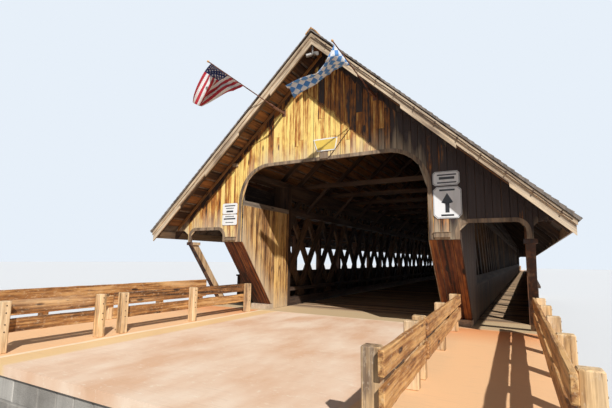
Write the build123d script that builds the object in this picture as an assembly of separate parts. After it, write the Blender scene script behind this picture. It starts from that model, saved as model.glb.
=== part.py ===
from build123d import *
import math
import os

# Covered timber bridge on masonry piers, as a model at 1:10: one millimetre here is one centimetre
# of the real bridge. X runs across it, Y along it and Z up, and heights are above the road deck.

# The run of the bridge along Y, from its middle
BAY = 124                   # from one lattice plank to the next
BAYS_PER_SPAN = 18
SPANS = ("near", "middle", "far")
FRAME_BAYS = 2              # bays from one roof frame to the next
END_DEPTH = 292             # from the end of the trusses to the front of the boarded gable
APPROACH = 620              # slab in front of the gable
GAP = 1                     # clear joint between pieces that must not bind
BASE = 450                  # lowest foot of the masonry, below the deck

# Truss, one on each side of the road
TRUSS_X = 304.5             # middle of the truss from the middle of the road
PLANK = 8                   # thickness of a lattice plank
PLANK_WIDTH = 34            # measured level, along the truss
PLANK_LEAN = 310            # from the foot of a plank to its head
CHORD = 12                  # thickness of one chord timber
BEAM_TOP = -24              # top of the floor beams, where the truss stands
TRUSS_TOP = 417
LOWER_CHORD = 50
UPPER_CHORD = 40
MIDDLE_CHORD = (322, 350)
CURB_TIMBER = (48, 61)
PLATE = 18                  # wall plate on top of a truss or of the eave posts
END_POST = 24

# Floor
FLOOR_BEAM = (15, 30)
BOLSTER = (60, 20)
PIER_BOLSTER = 150          # half length of a bolster on a pier
END_BOLSTER = 84
STRINGER = (12, 16)
STRINGER_X = (0, 80, 160, 240)
WALK_STRINGER_X = (356, 401, 446)
DECK = 8
ROAD_EDGE = 268
WALK_EDGES = (339, 464)

# Walls beside the walkways
HOUSING_IN = 270            # road face of the truss ends
HOUSING_OUT = 339           # walkway face of the truss ends
WAINSCOT = (12, 96, 118)
EAVE_POST = 20
EAVE_POST_X = 475
EAVE_PLATE_TOP = 285
PARAPET_TOP = 101
BOARD = 4

# Roof, given by the height of each layer above the deck at the ridge
PITCH = math.tan(math.radians(42.9))
ROOF_TOP = 764
SHINGLE = 8
BATTEN = 6
RAFTER = 22
RAFTER_WIDTH = 10
BATTEN_STEP = 25
BATTEN_WIDTH = 18
EAVE_OVERHANG = 71          # rafter end beyond the middle of the eave posts
SHINGLE_OVERHANG = 15
RAKE = 81                   # roof in front of the facade
SHINGLE_LIP = 5
RIDGE_CAP = (4, 16)
FASCIA = (28, 20)           # depth of the wide and of the narrow pieces
FASCIA_STEPS = (127, 232, 349, 445)
TIE_BEAM = (13, 16)
TIE_END = 312
BRACE = 16

# Facade openings
ROAD_OPENING = (274, 270, 428, 95)     # half width at the foot, at the arch, height, corner radius
WALK_OPENING = (339, 470, 246, 20)
OUTER_LEG = 13              # width of the facade's outer leg
HALF_ARCH = 14
FACADE_FOOT = 210
FACADE_WALL = 5
TRIM = (9, 3)
RAKED_FOOT = 167            # foot of the raked ends behind the facade
FOOT_BLOCK = (15, 24)       # height and depth of the block under the raked front
HOUSING_TOP = 400
CHEEK_HEAD = (319, 334, 14)  # timber on the road cheek: bottom, top and thickness
COLLAR = 9

# Masonry
SLAB = 15
SLAB_X = 520
ABUTMENT_X = 512
BATTER = 30
PIER = (60, 400, 62)        # half thickness, half length, cutwater
COPING = (14, 8)
STONE_RISE = 6              # the abutment's outer face stands this far behind the slab's edge

# Fences on the approach
POST = (18, 15, 85)
RAIL = (6, 23)
RAIL_TOPS = (84, 53)
CURB_SECTIONS = ((-66, 158, 361), (413, 587))    # posts, measured forward from the gable
LEFT_CURB = (282, 300)
RIGHT_CURB = (301, 330)
OUTER_POSTS = (-70, 92, 254, 416, 578)
OUTER_FENCE = (480, 496)

# Flag poles and lamp on the gable
POLE_RADIUS = 1.5
SOCKET = (3, 10)
LEFT_POLE = ((-130, -60, 582), (-223, -220, 660))
RIGHT_POLE = ((146, -60, 581), (118, -200, 637))
HOIST = (0.54, 0.97)        # stretch of a pole that carries the flag
FLAG_THICKNESS = 2
POLE_CLEARANCE = 0.4
LEFT_FLAG_DROP = ((35, -33), (14, -120), (4, -118))
RIGHT_FLAG_TAIL = ((-12, -150, 540), (-33, -150, 580))
LAMP = (30, 5, 14)          # drop below the ridge, radius and length of one lamp

span_length = BAY * BAYS_PER_SPAN
truss_end = span_length * len(SPANS) / 2
facade = truss_end + END_DEPTH
frame_step = BAY * FRAME_BAYS
frame_count = int(truss_end // frame_step)
frames = [frame_step * i for i in range(-frame_count, frame_count + 1)]
slab_end = truss_end + END_POST + 2 * GAP
eave = EAVE_POST_X + EAVE_OVERHANG
shingle_eave = eave + SHINGLE_OVERHANG
rafter_level = ROOF_TOP - SHINGLE - BATTEN
rafter_foot = rafter_level - RAFTER
seat_z = BEAM_TOP - FLOOR_BEAM[1] - BOLSTER[1]
lattice_face = TRUSS_X + PLANK
chord_face = lattice_face + CHORD
plate_z = TRUSS_TOP + PLATE
rake_plane = facade + RAKE
wall_back = facade - FACADE_WALL


def block(x0, x1, y0, y1, z0, z1):
    corner = Pos(min(x0, x1), min(y0, y1), min(z0, z1))
    return corner * Box(abs(x1 - x0), abs(y1 - y0), abs(z1 - z0), align=(Align.MIN,) * 3)


def along(points, y0, y1):
    """A level run along the bridge with the outline points, given as (x, z)."""
    plane = Plane((0, y0, 0), x_dir=(1, 0, 0), z_dir=(0, -1, 0))
    return extrude(plane * Polygon(*points, align=None), y1 - y0, dir=(0, 1, 0))


def across(points, x0, x1):
    """A run across the bridge with the outline points, given as (y, z)."""
    plane = Plane((x0, 0, 0), x_dir=(0, 1, 0), z_dir=(1, 0, 0))
    return extrude(plane * Polygon(*points, align=None), x1 - x0, dir=(1, 0, 0))


def roof_z(x, level):
    return level - PITCH * x


def slope(x0, x1, top, bottom):
    """Outline of a roof layer on the right slope, between two levels."""
    return [(x0, roof_z(x0, top)), (x1, roof_z(x1, top)), (x1, roof_z(x1, bottom)), (x0, roof_z(x0, bottom))]


def save(name, pieces):
    solids = [Pos(0, 0, BASE) * solid for piece in pieces for solid in piece.solids()]
    export_step(Compound(solids), f"parts/{name}.step")


def both_sides(pieces):
    return pieces + [mirror(piece, about=Plane.YZ) for piece in pieces]


def both_ends(pieces):
    return pieces + [mirror(piece, about=Plane.XZ) for piece in pieces]


def save_sides(name, right):
    save(f"right_{name}", right)
    save(f"left_{name}", [mirror(piece, about=Plane.YZ) for piece in right])


def save_ends(name, near):
    save(f"near_{name}", near)
    save(f"far_{name}", [mirror(piece, about=Plane.XZ) for piece in near])


def plank(start, lean, inner):
    """One lattice plank from its foot at start, cut off at the ends of the truss."""
    half = PLANK_WIDTH / 2
    outline = [(start - half, BEAM_TOP), (start + half, BEAM_TOP),
               (start + lean + half, TRUSS_TOP), (start + lean - half, TRUSS_TOP)]
    layer = (TRUSS_X - PLANK, TRUSS_X) if inner else (TRUSS_X, TRUSS_X + PLANK)
    solid = across(outline, *layer)
    if max(abs(start + half), abs(start - half), abs(start + lean + half), abs(start + lean - half)) > truss_end:
        solid = solid & block(*layer, -truss_end, truss_end, BEAM_TOP, TRUSS_TOP)
    return solid


def lattice(first, last):
    """The planks of one span: two layers that lean opposite ways, fused where they cross."""
    planks = []
    for i in range(first, last):
        start = (i + 0.5) * BAY - truss_end
        for lean, inner in ((PLANK_LEAN, True), (-PLANK_LEAN, False)):
            foot, head = start, start + lean
            if min(foot, head) < truss_end - PLANK_WIDTH and max(foot, head) > PLANK_WIDTH - truss_end:
                planks.append(plank(start, lean, inner))
    return planks[0].fuse(*planks[1:])


def make_trusses():
    beyond = math.ceil(PLANK_LEAN / BAY)
    for i, span in enumerate(SPANS):
        first = i * BAYS_PER_SPAN - (beyond if i == 0 else 0)
        last = (i + 1) * BAYS_PER_SPAN + (beyond if i == len(SPANS) - 1 else 0)
        save_sides(f"{span}_lattice", [lattice(first, last)])
    leaves = [(TRUSS_X - PLANK - CHORD, TRUSS_X - PLANK), (lattice_face, chord_face)]
    levels = [(BEAM_TOP, BEAM_TOP + LOWER_CHORD)]
    lower = [block(*x, -truss_end, truss_end, *z) for x in leaves for z in levels]
    lower.append(block(*leaves[0], -truss_end, truss_end, *CURB_TIMBER))
    levels = [MIDDLE_CHORD, (TRUSS_TOP - UPPER_CHORD, TRUSS_TOP)]
    upper = [block(*x, -truss_end, truss_end, *z) for x in leaves for z in levels]
    save_sides("chords", lower + upper)
    plate = block(leaves[0][0], leaves[1][1], -wall_back, wall_back, TRUSS_TOP, plate_z)
    save("wall_plates", both_sides([plate]))
    post = block(HOUSING_IN + BOARD, HOUSING_OUT - BOARD, -truss_end - END_POST, -truss_end, BEAM_TOP, TRUSS_TOP)
    save("truss_end_posts", both_ends(both_sides([post])))


def make_floor():
    width, depth = FLOOR_BEAM
    reach = EAVE_POST_X + EAVE_POST / 2
    low = BEAM_TOP - depth
    beams = [block(-reach, reach, y - width / 2, y + width / 2, low, BEAM_TOP) for y in frames]
    for side in (-1, 1):
        end = side * (truss_end + END_POST)
        beams.append(block(-reach, reach, end, end - side * 2 * width, low, BEAM_TOP))
    save("floor_beams", beams)
    half = BOLSTER[0] / 2
    bolsters = []
    for x in (-TRUSS_X, TRUSS_X):
        for y in (-span_length / 2, span_length / 2):
            bolsters.append(block(x - half, x + half, y - PIER_BOLSTER, y + PIER_BOLSTER, seat_z, low))
        for side in (-1, 1):
            end = side * (slab_end - GAP)
            bolsters.append(block(x - half, x + half, end, end - side * END_BOLSTER, seat_z, low))
    save("bearing_timbers", bolsters)
    half = STRINGER[0] / 2
    spots = [x * side for x in STRINGER_X + WALK_STRINGER_X for side in (-1, 1) if x or side > 0]
    run = slab_end - GAP
    stringers = [block(x - half, x + half, -run, run, BEAM_TOP, BEAM_TOP + STRINGER[1]) for x in spots]
    save("floor_stringers", stringers)
    save("road_deck", [block(-ROAD_EDGE, ROAD_EDGE, -run, run, -DECK, 0)])
    save("walkway_decks", both_sides([block(*WALK_EDGES, -run, run, -DECK, 0)]))


def make_side_walls():
    thick, shoulder, crest = WAINSCOT
    face = chord_face + thick
    wainscot = [(chord_face, BEAM_TOP), (face, BEAM_TOP), (face, shoulder - 4), (face + 4, shoulder - 4),
                (face + 4, shoulder), (chord_face, crest)]
    save_sides("walkway_wall", [along(wainscot, -truss_end, truss_end)])
    outer = EAVE_POST_X + EAVE_POST / 2
    low = BEAM_TOP - FLOOR_BEAM[1]
    parapet = [(outer, low), (outer + BOARD, low), (outer + BOARD, PARAPET_TOP - 6), (outer + BOARD + 6, PARAPET_TOP - 6),
               (outer + BOARD + 6, PARAPET_TOP), (outer, PARAPET_TOP)]
    save_sides("parapet", [along(parapet, GAP - slab_end, slab_end - GAP)])
    half = EAVE_POST / 2
    top = EAVE_PLATE_TOP - PLATE
    ends = [truss_end + END_POST - 15, -truss_end - END_POST + 15]
    posts = [block(outer - EAVE_POST, outer, y - half, y + half, BEAM_TOP, top) for y in frames + ends]
    save("eave_posts", both_sides(posts))
    plate = block(outer - EAVE_POST, outer, -wall_back, wall_back, top, EAVE_PLATE_TOP)
    save("eave_plates", both_sides([plate]))


def rafter_outline():
    """Right rafter with a seat cut over the wall plate and another over the eave plate."""
    bottom = [(0, rafter_foot)]
    for seat, edge in ((plate_z, chord_face), (EAVE_PLATE_TOP, EAVE_POST_X + EAVE_POST / 2)):
        bottom += [((rafter_foot - seat) / PITCH, seat), (edge, seat), (edge, roof_z(edge, rafter_foot))]
    bottom.append((eave, roof_z(eave, rafter_foot)))
    return [(0, rafter_level), (eave, roof_z(eave, rafter_level))] + bottom[::-1]


def make_roof():
    half = RAFTER_WIDTH / 2
    behind_wall = facade - FACADE_WALL - half
    behind_fascia = rake_plane - BOARD - half
    spots = frames + [behind_wall, -behind_wall, behind_fascia, -behind_fascia, half - truss_end, truss_end - half]
    outline = rafter_outline()
    plain = [(0, rafter_level), (eave, roof_z(eave, rafter_level)), (eave, roof_z(eave, rafter_foot)), (0, rafter_foot)]
    rafters = [along(plain if abs(y) > facade else outline, y - half, y + half) for y in spots]
    save_sides("rafters", rafters)
    first = RIDGE_CAP[1] / 2
    count = int((eave - first - BATTEN_WIDTH) // BATTEN_STEP)
    battens = []
    for i in range(count + 1):
        x = first + BATTEN_STEP * i
        strip = slope(x, x + BATTEN_WIDTH, rafter_level + BATTEN, rafter_level)
        battens.append(along(strip, -rake_plane, rake_plane))
    save_sides("roof_battens", battens)
    lip = rake_plane + SHINGLE_LIP
    save_sides("roof_shingles", [along(slope(0, shingle_eave, ROOF_TOP, ROOF_TOP - SHINGLE), -lip, lip)])
    thick, reach = RIDGE_CAP
    cap = [(0, ROOF_TOP + thick), (reach, roof_z(reach, ROOF_TOP + thick)), (reach, roof_z(reach, ROOF_TOP)), (0, ROOF_TOP),
           (-reach, roof_z(reach, ROOF_TOP)), (-reach, roof_z(reach, ROOF_TOP + thick))]
    save("ridge_cap", [along(cap, -lip, lip)])
    eave_board = [(eave, roof_z(eave, rafter_level)), (eave + BOARD, roof_z(eave + BOARD, rafter_level)),
                  (eave + BOARD, roof_z(eave, rafter_foot)), (eave, roof_z(eave, rafter_foot))]
    save("eave_boards", both_sides([along(eave_board, -rake_plane + BOARD, rake_plane - BOARD)]))


def make_rake_boards():
    """The stepped board under the verge and the narrow board that laps over its upper edge."""
    wide, narrow = (rafter_level - depth for depth in FASCIA)
    lower = [(0, wide)]
    depths = (wide, narrow)
    for i, x in enumerate(FASCIA_STEPS):
        lower += [(x, roof_z(x, depths[i % 2])), (x, roof_z(x, depths[(i + 1) % 2]))]
    tip = eave + BOARD
    lower.append((tip, roof_z(tip, wide)))
    outline = [(0, rafter_level), (tip, roof_z(tip, rafter_level))] + lower[::-1]
    right = along(outline, -rake_plane, -rake_plane + BOARD)
    upper = along(slope(0, tip + 2, rafter_level + 2, rafter_level - 8), -rake_plane - 3, -rake_plane)
    boards = both_sides([right, upper])
    joined = boards[0].fuse(*boards[1:])
    save_ends("rake_boards", [joined])


def make_inner_frames():
    width, depth = TIE_BEAM
    gap = RAFTER_WIDTH / 2
    beams = [block(-TIE_END, TIE_END, y + gap, y + gap + width, plate_z, plate_z + depth) for y in frames]
    save("tie_beams", beams)
    face = TRUSS_X - PLANK - CHORD
    foot = MIDDLE_CHORD[1]
    rise = plate_z - foot
    outline = [(face, foot - BRACE), (face, foot), (face - rise, plate_z), (face - rise - BRACE, plate_z)]
    braces = [along(outline, y + gap + 2, y + gap + width - 2) for y in frames]
    save("knee_braces", both_sides(braces))


def opening(half_low, half_high, top, radius):
    """Outline of the road opening, with a quarter round in each upper corner."""
    low = FACADE_FOOT - 20
    shape = Polygon((-half_low, low), (half_low, low), (half_high, top), (-half_high, top), align=None)
    corners = shape.vertices().filter_by(lambda v: v.Y > top - 1)
    return fillet(corners, radius)


def walk_opening(x0, x1, top, radius):
    low = FACADE_FOOT - 20
    shape = Polygon((x0, low), (x1, low), (x1, top), (x0, top), align=None)
    corners = shape.vertices().filter_by(lambda v: v.Y > top - 1)
    return fillet(corners, radius)


def facade_face():
    """Gable wall with its road opening, two walkway openings and a half arch beyond each outer leg."""
    tip = (rafter_level - FACADE_FOOT) / PITCH
    wall = Polygon((-tip, FACADE_FOOT), (tip, FACADE_FOOT), (0, rafter_level), align=None)
    wall = wall & Rectangle(2 * eave, 4 * rafter_level)
    wall = wall - opening(*ROAD_OPENING)
    top = WALK_OPENING[2]
    leg = WALK_OPENING[1] + OUTER_LEG
    half_arch = Polygon((leg, 0), (2 * tip, 0), (2 * tip, top), (leg, top), align=None)
    corner = half_arch.vertices().filter_by(lambda v: v.Y > top - 1 and v.X < leg + 1)
    right = walk_opening(*WALK_OPENING) + fillet(corner, HALF_ARCH)
    return wall - right - mirror(right, about=Plane.YZ)


def trim_face():
    width = TRIM[0]
    half_low, half_high, top, radius = ROAD_OPENING
    road = opening(half_low + width, half_high + width, top + width, radius + width) - opening(*ROAD_OPENING)
    x0, x1, top, radius = WALK_OPENING
    walk = walk_opening(x0 - width, x1 + width, top + width, radius + width) - walk_opening(*WALK_OPENING)
    keep = Polygon((-eave, FACADE_FOOT), (eave, FACADE_FOOT), (eave, ROOF_TOP), (-eave, ROOF_TOP), align=None)
    return (road + walk + mirror(walk, about=Plane.YZ)) & keep


def make_facades():
    plane = Plane((0, -facade, 0), x_dir=(1, 0, 0), z_dir=(0, -1, 0))
    save_ends("gable_wall", [extrude(plane * facade_face(), FACADE_WALL, dir=(0, 1, 0))])
    save("opening_trims", both_ends([extrude(plane * trim_face(), TRIM[1], dir=(0, -1, 0))]))


def make_end_housings():
    """Boarded housing of each truss end: two cheeks and a raked front, open behind. The cheek beside
    the road ends lower, under a timber that runs back from the gable, and stops at the end post."""
    front = -facade + FACADE_WALL
    foot = -facade + RAKED_FOOT
    high, deep = FOOT_BLOCK
    block_back = foot - 12 + deep
    post_front = -truss_end - END_POST
    outline = [(front, HOUSING_TOP), (front, FACADE_FOOT), (foot, high), (block_back + GAP, high), (block_back + GAP, 0),
               (-truss_end, 0), (-truss_end, HOUSING_TOP)]
    run, rise = foot - front, FACADE_FOOT - high
    lean = BOARD * math.hypot(run, rise) / rise
    hollow = [(front + lean, HOUSING_TOP), (front + lean, FACADE_FOOT), (foot + lean, high), (foot + lean, 0),
              (-truss_end, 0), (-truss_end, HOUSING_TOP)]
    shell = across(outline, HOUSING_IN, HOUSING_OUT) - across(hollow, HOUSING_IN + BOARD, HOUSING_OUT - BOARD)
    cheek_top, head_top, thick = CHEEK_HEAD
    shell = shell - block(HOUSING_IN, HOUSING_IN + BOARD, front + lean, -truss_end, cheek_top, HOUSING_TOP)
    shell = shell - block(HOUSING_IN, HOUSING_IN + BOARD, post_front, -truss_end, 0, HOUSING_TOP)
    shell = shell.fuse(block(HOUSING_IN, HOUSING_IN + thick, front + lean, post_front, cheek_top, head_top))
    foot_block = block(HOUSING_IN - GAP, HOUSING_OUT + GAP, foot - 12, block_back, 0, high)
    save_ends("end_housings", both_sides([shell]))
    save("foot_blocks", both_ends(both_sides([foot_block])))
    x0, x1 = EAVE_POST_X - EAVE_POST / 2 + 2, EAVE_POST_X + EAVE_POST / 2
    depth = 26
    leg = across([(front, FACADE_FOOT - COLLAR), (front + depth, FACADE_FOOT - COLLAR), (foot + depth, 0), (foot, 0)], x0, x1)
    collar = block(x0 - 4, x1 + 4, front - 4, front + depth + 4, FACADE_FOOT - COLLAR, FACADE_FOOT)
    leg = leg.fuse(collar)
    save("raked_eave_posts", both_ends(both_sides([leg])))


def make_masonry():
    top = -SLAB
    seat_edge = -slab_end + 100
    outer = -facade - APPROACH
    back = outer + STONE_RISE
    body = across([(back, -BASE), (seat_edge + BATTER, -BASE), (seat_edge, seat_z), (-slab_end, seat_z), (-slab_end, top),
                   (back, top)], -ABUTMENT_X, ABUTMENT_X)
    save_ends("abutment", [body])
    save_ends("approach_slab", [block(-SLAB_X, SLAB_X, outer, -slab_end, -SLAB, 0)])
    half, length, point = PIER
    thick, lip = COPING

    def plan(grow, z):
        outline = Polygon((-length, -half - grow), (length, -half - grow), (length + point + grow, 0), (length, half + grow),
                          (-length, half + grow), (-length - point - grow, 0), align=None)
        return Plane((0, -span_length / 2, z)) * outline

    shaft = loft([plan(BATTER, -BASE), plan(0, seat_z - thick)], ruled=True)
    coping = extrude(plan(lip, seat_z - thick), thick)
    save_ends("pier", [shaft.fuse(coping)])


def fence(x_span, side, posts, rails_inside):
    """One straight fence section, from its first post to its last, with two rails on one face."""
    reach = (CURB_SECTIONS[0][0], CURB_SECTIONS[-1][-1])

    def at(distance):
        share = (distance - reach[0]) / (reach[1] - reach[0])
        return Vector(side * (x_span[0] + (x_span[1] - x_span[0]) * share), -facade - distance)

    start = at(posts[0])
    run = at(posts[-1]) - start
    wide, deep, high = POST
    thick, tall = RAIL
    pieces = []
    for distance in posts:
        y = -(at(distance) - start).length
        pieces.append(block(0, side * wide, y - deep / 2, y + deep / 2, 0, high))
    faces = (0, -side * thick) if rails_inside else (side * wide, side * (wide + thick))
    for rail_top in RAIL_TOPS:
        pieces.append(block(*faces, -run.length - deep, deep, rail_top - tall, rail_top))
    turn = math.degrees(math.atan2(run.X, -run.Y))
    return Pos(start.X, start.Y, 0) * Rot(0, 0, turn) * pieces[0].fuse(*pieces[1:])


def make_fences():
    curbs, outers = [], []
    for side, curb in ((1, RIGHT_CURB), (-1, LEFT_CURB)):
        curbs += [fence(curb, side, posts, False) for posts in CURB_SECTIONS]
        outers.append(fence(OUTER_FENCE, side, OUTER_POSTS, True))
    save_ends("curb_fences", curbs)
    save_ends("outer_fences", outers)


def pole(ends):
    """Flag pole in a socket, on a flat arm that stands out from the gable wall."""
    base, tip = (Vector(x, y - facade, z) for x, y, z in ends)
    run = tip - base
    stand = (Align.CENTER, Align.CENTER, Align.MIN)
    rod = Plane(base, z_dir=run) * Cylinder(POLE_RADIUS, run.length, align=stand)
    socket = Plane(base, z_dir=run) * Cylinder(SOCKET[0], SOCKET[1], align=stand)
    arm = block(base.X - 2, base.X + 2, base.Y + 1, -facade - 2, base.Z - 5, base.Z + 2)
    plate = block(base.X - 6, base.X + 6, -facade - 2, -facade, base.Z - 12, base.Z + 8)
    return rod.fuse(socket, arm, plate)


def hoist_points(ends):
    base, tip = (Vector(x, y - facade, z) for x, y, z in ends)
    low, high = (base + (tip - base) * share for share in HOIST)
    return low, high


def flat_sheet(points):
    """Thin flat solid with the given corners, which lie near one plane, set off from its pole."""
    low, high, corner = points[:3]
    normal = (high - low).cross(corner - low)
    plane = Plane(low, x_dir=high - low, z_dir=normal)
    local = [plane.to_local_coords(point) for point in points]
    away = POLE_RADIUS + POLE_CLEARANCE
    side = math.copysign(1, local[2].Y)
    outline = [(point.X, point.Y + away * side) for point in local]
    return extrude(plane * Polygon(*outline, align=None), FLAG_THICKNESS / 2, both=True)


def make_flags():
    """Both flags as plain sheets: one hangs from its pole, the wind holds the tail of the other."""
    low, high = hoist_points(LEFT_POLE)
    level = Vector(high.X - low.X, high.Y - low.Y, 0).normalized()
    near, end, tip = (anchor + level * out + Vector(0, 0, drop)
                      for anchor, (out, drop) in zip((low, high, high), LEFT_FLAG_DROP))
    save("left_flag", [flat_sheet([low, high, end, tip, near])])
    low, high = hoist_points(RIGHT_POLE)
    tail = [Vector(x, y - facade, z) for x, y, z in RIGHT_FLAG_TAIL]
    save("right_flag", [flat_sheet([low, high, tail[1], tail[0]])])


def make_gable_fittings():
    save("left_flag_pole", [pole(LEFT_POLE)])
    save("right_flag_pole", [pole(RIGHT_POLE)])
    drop, radius, length = LAMP
    y = -facade - RAKE + BOARD + RAFTER_WIDTH / 2
    arm = block(-2, 2, y - 2, y + 2, rafter_foot - drop, rafter_foot - 2 * PITCH)
    heads = []
    for side in (-1, 1):
        plane = Plane((side * radius, y, rafter_foot - drop), z_dir=(side, -0.6, -0.4))
        heads.append(plane * Cylinder(radius, length, align=(Align.CENTER, Align.CENTER, Align.MIN)))
    bar = block(-radius - 1, radius + 1, y - 2, y + 2, rafter_foot - drop - 2, rafter_foot - drop + 2)
    save("gable_lamp", [arm.fuse(bar, *heads)])


os.makedirs("parts", exist_ok=True)
make_trusses()
make_floor()
make_side_walls()
make_roof()
make_rake_boards()
make_inner_frames()
make_facades()
make_end_housings()
make_masonry()
make_fences()
make_gable_fittings()
make_flags()
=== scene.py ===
import math
import bpy
import numpy as np
from mathutils import Matrix, Vector


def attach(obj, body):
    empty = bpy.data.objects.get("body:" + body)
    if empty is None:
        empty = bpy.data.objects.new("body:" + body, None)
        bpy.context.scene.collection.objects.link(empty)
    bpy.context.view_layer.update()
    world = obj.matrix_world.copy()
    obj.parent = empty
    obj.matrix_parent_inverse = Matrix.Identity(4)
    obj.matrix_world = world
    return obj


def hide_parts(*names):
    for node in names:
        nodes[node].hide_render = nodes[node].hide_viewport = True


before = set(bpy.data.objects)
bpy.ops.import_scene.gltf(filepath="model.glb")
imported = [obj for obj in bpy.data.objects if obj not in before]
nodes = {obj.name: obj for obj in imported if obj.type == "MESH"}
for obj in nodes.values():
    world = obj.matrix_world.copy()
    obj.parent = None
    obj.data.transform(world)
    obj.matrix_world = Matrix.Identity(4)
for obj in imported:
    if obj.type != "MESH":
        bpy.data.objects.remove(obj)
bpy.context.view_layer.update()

# What several sections share, in metres: the bridge runs along Y, with its middle over the origin.
ENDS = (("near", -1), ("far", 1))
HANDS = (("left", -1), ("right", 1))
THETA = math.radians(42.9)      # slope of the roof
PITCH = math.tan(THETA)
DECK = 0.45                     # top of the road and of the walkways
GABLE = 3.640                   # front of both gables

# Camera and light. The camera stands on the approach beside the fence, with a wide lens, as a walker
# sees the portal. The sun comes from the front and the right, over an even sky that looks pale.
class Wire:
    """What a node gives out. Sums, products and the like of wires and numbers are Math nodes."""

    def __init__(self, tree, socket):
        self.tree = tree
        self.socket = socket

    def math(self, operation, *values):
        return self.tree.math(operation, self, *values)

    def clipped(self):
        """Keeps what the Math node behind the wire gives between 0 and 1."""
        self.socket.node.use_clamp = True
        return self

    def over(self, edge, slope):
        """A mask that climbs from 0 to 1 as the value passes the edge."""
        return ((self - edge) * slope).clipped()

    def __add__(self, other):
        return self.math("ADD", other)

    def __sub__(self, other):
        return self.math("SUBTRACT", other)

    def __rsub__(self, other):
        return self.tree.math("SUBTRACT", other, self)

    def __mul__(self, other):
        return self.math("MULTIPLY", other)

    def __truediv__(self, other):
        return self.math("DIVIDE", other)

    def __abs__(self):
        return self.math("ABSOLUTE")


class Nodes:
    """Short hand for the node tree of a material, a world or a node group."""

    def __init__(self, tree):
        self.tree = tree

    def join(self, value, socket):
        """Links a wire to the socket, or sets the socket's own value. Colours are opaque."""
        if isinstance(value, Wire):
            self.tree.links.new(value.socket, socket)
        else:
            socket.default_value = (*value, 1) if socket.type == "RGBA" else value

    def node(self, kind, inputs=None, **settings):
        made = self.tree.nodes.new(kind)
        for key, value in settings.items():
            setattr(made, key, value)
        for key, value in (inputs or {}).items():
            self.join(value, made.inputs[key])
        return made

    def out(self, kind, inputs=None, output=0, **settings):
        return Wire(self, self.node(kind, inputs, **settings).outputs[output])

    def math(self, operation, *values):
        return self.out("ShaderNodeMath", dict(enumerate(values)), operation=operation)

    def mix(self, share, a, b):
        return self.out("ShaderNodeMix", {0: share, 6: a, 7: b}, 2, data_type="RGBA")

    def mapped(self, vector, scale=(1, 1, 1), rotation=(0, 0, 0)):
        return self.out("ShaderNodeMapping", {"Vector": vector, "Scale": scale, "Rotation": rotation})

    def noise(self, vector, scale, detail=3.0, roughness=0.55):
        return self.out("ShaderNodeTexNoise", {"Vector": self.mapped(vector, scale), "Scale": 1.0,
                                               "Detail": detail, "Roughness": roughness})

    def chance(self, number):
        """A random number from 0 to 1 that is the same for equal numbers."""
        return self.out("ShaderNodeTexWhiteNoise", {"W": number}, noise_dimensions="1D")

    def place(self):
        return self.out("ShaderNodeTexCoord", output="Object")

    def attribute(self, name, output="Fac"):
        return self.out("ShaderNodeAttribute", output=output, attribute_name=name)

    def split(self, vector):
        return [Wire(self, socket) for socket in self.node("ShaderNodeSeparateXYZ", {0: vector}).outputs]

    def bump(self, height, distance):
        return self.out("ShaderNodeBump", {"Height": height, "Distance": distance})

    def looking(self):
        """1 on rays that look at what is there, straight or by a gleam, and 0 on those that light it."""
        path = self.node("ShaderNodeLightPath").outputs
        ways = ("Camera", "Glossy", "Transmission")
        straight, gleam, through = (Wire(self, path[f"Is {way} Ray"]) for way in ways)
        return straight.math("MAXIMUM", gleam.math("MAXIMUM", through))


def new_object(name, data):
    made = bpy.data.objects.new(name, data)
    bpy.context.scene.collection.objects.link(made)
    return made


EYE = (0.4683, -4.5929, 0.6126)
YAW, TILT, ROLL = 0.5013, 0.1354, 0.0137
SUNSHINE = (-0.540, 0.572, -0.617)
camera = bpy.data.cameras.new("camera")
camera.lens = 23.64
camera.sensor_width = 36.0
camera.clip_start = 0.01
viewer = new_object("camera", camera)
turn = Matrix.Rotation(YAW, 4, "Z") @ Matrix.Rotation(math.pi / 2 + TILT, 4, "X")
viewer.matrix_world = Matrix.Translation(EYE) @ turn @ Matrix.Rotation(ROLL, 4, "Z")
bpy.context.scene.camera = viewer
bpy.context.scene.view_settings.view_transform = "Standard"
sun = bpy.data.lights.new("sun", "SUN")
sun.energy = 4.5
sun.angle = math.radians(0.9)
new_object("sun", sun).rotation_euler = Vector(SUNSHINE).to_track_quat("-Z", "Y").to_euler()
world = bpy.data.worlds.new("sky")
world.use_nodes = True
world.node_tree.nodes.clear()
n = Nodes(world.node_tree)
light = n.out("ShaderNodeBackground", {"Color": (0.66, 0.79, 1.0), "Strength": 0.19})
backdrop = n.out("ShaderNodeBackground", {"Color": (0.80, 0.87, 0.95), "Strength": 1.0})
sky = n.out("ShaderNodeMixShader", {0: n.looking(), 1: light, 2: backdrop})
n.node("ShaderNodeOutputWorld", {"Surface": sky})
bpy.context.scene.world = world


# Masonry: the abutments and the piers stand on the lowest ground of the model. They are coursed
# squared stone, each stone bedded in mortar and a little proud of it, under a smooth coping.
def new_group(name, **inputs):
    """A node group with the given inputs, which gives a colour, a roughness and a height."""
    group = bpy.data.node_groups.new(name, "ShaderNodeTree")
    outputs = {"Color": "Color", "Roughness": "Float", "Height": "Float"}
    for way, sockets in (("INPUT", inputs), ("OUTPUT", outputs)):
        for key, kind in sockets.items():
            group.interface.new_socket(key, in_out=way, socket_type="NodeSocket" + kind)
    n = Nodes(group)
    given = {socket.name: Wire(n, socket) for socket in n.node("NodeGroupInput").outputs}
    return n, given, n.node("NodeGroupOutput").inputs


def new_material(name):
    made = bpy.data.materials.new(name)
    made.use_nodes = True
    return made, Nodes(made.node_tree), made.node_tree.nodes["Principled BSDF"].inputs


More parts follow.
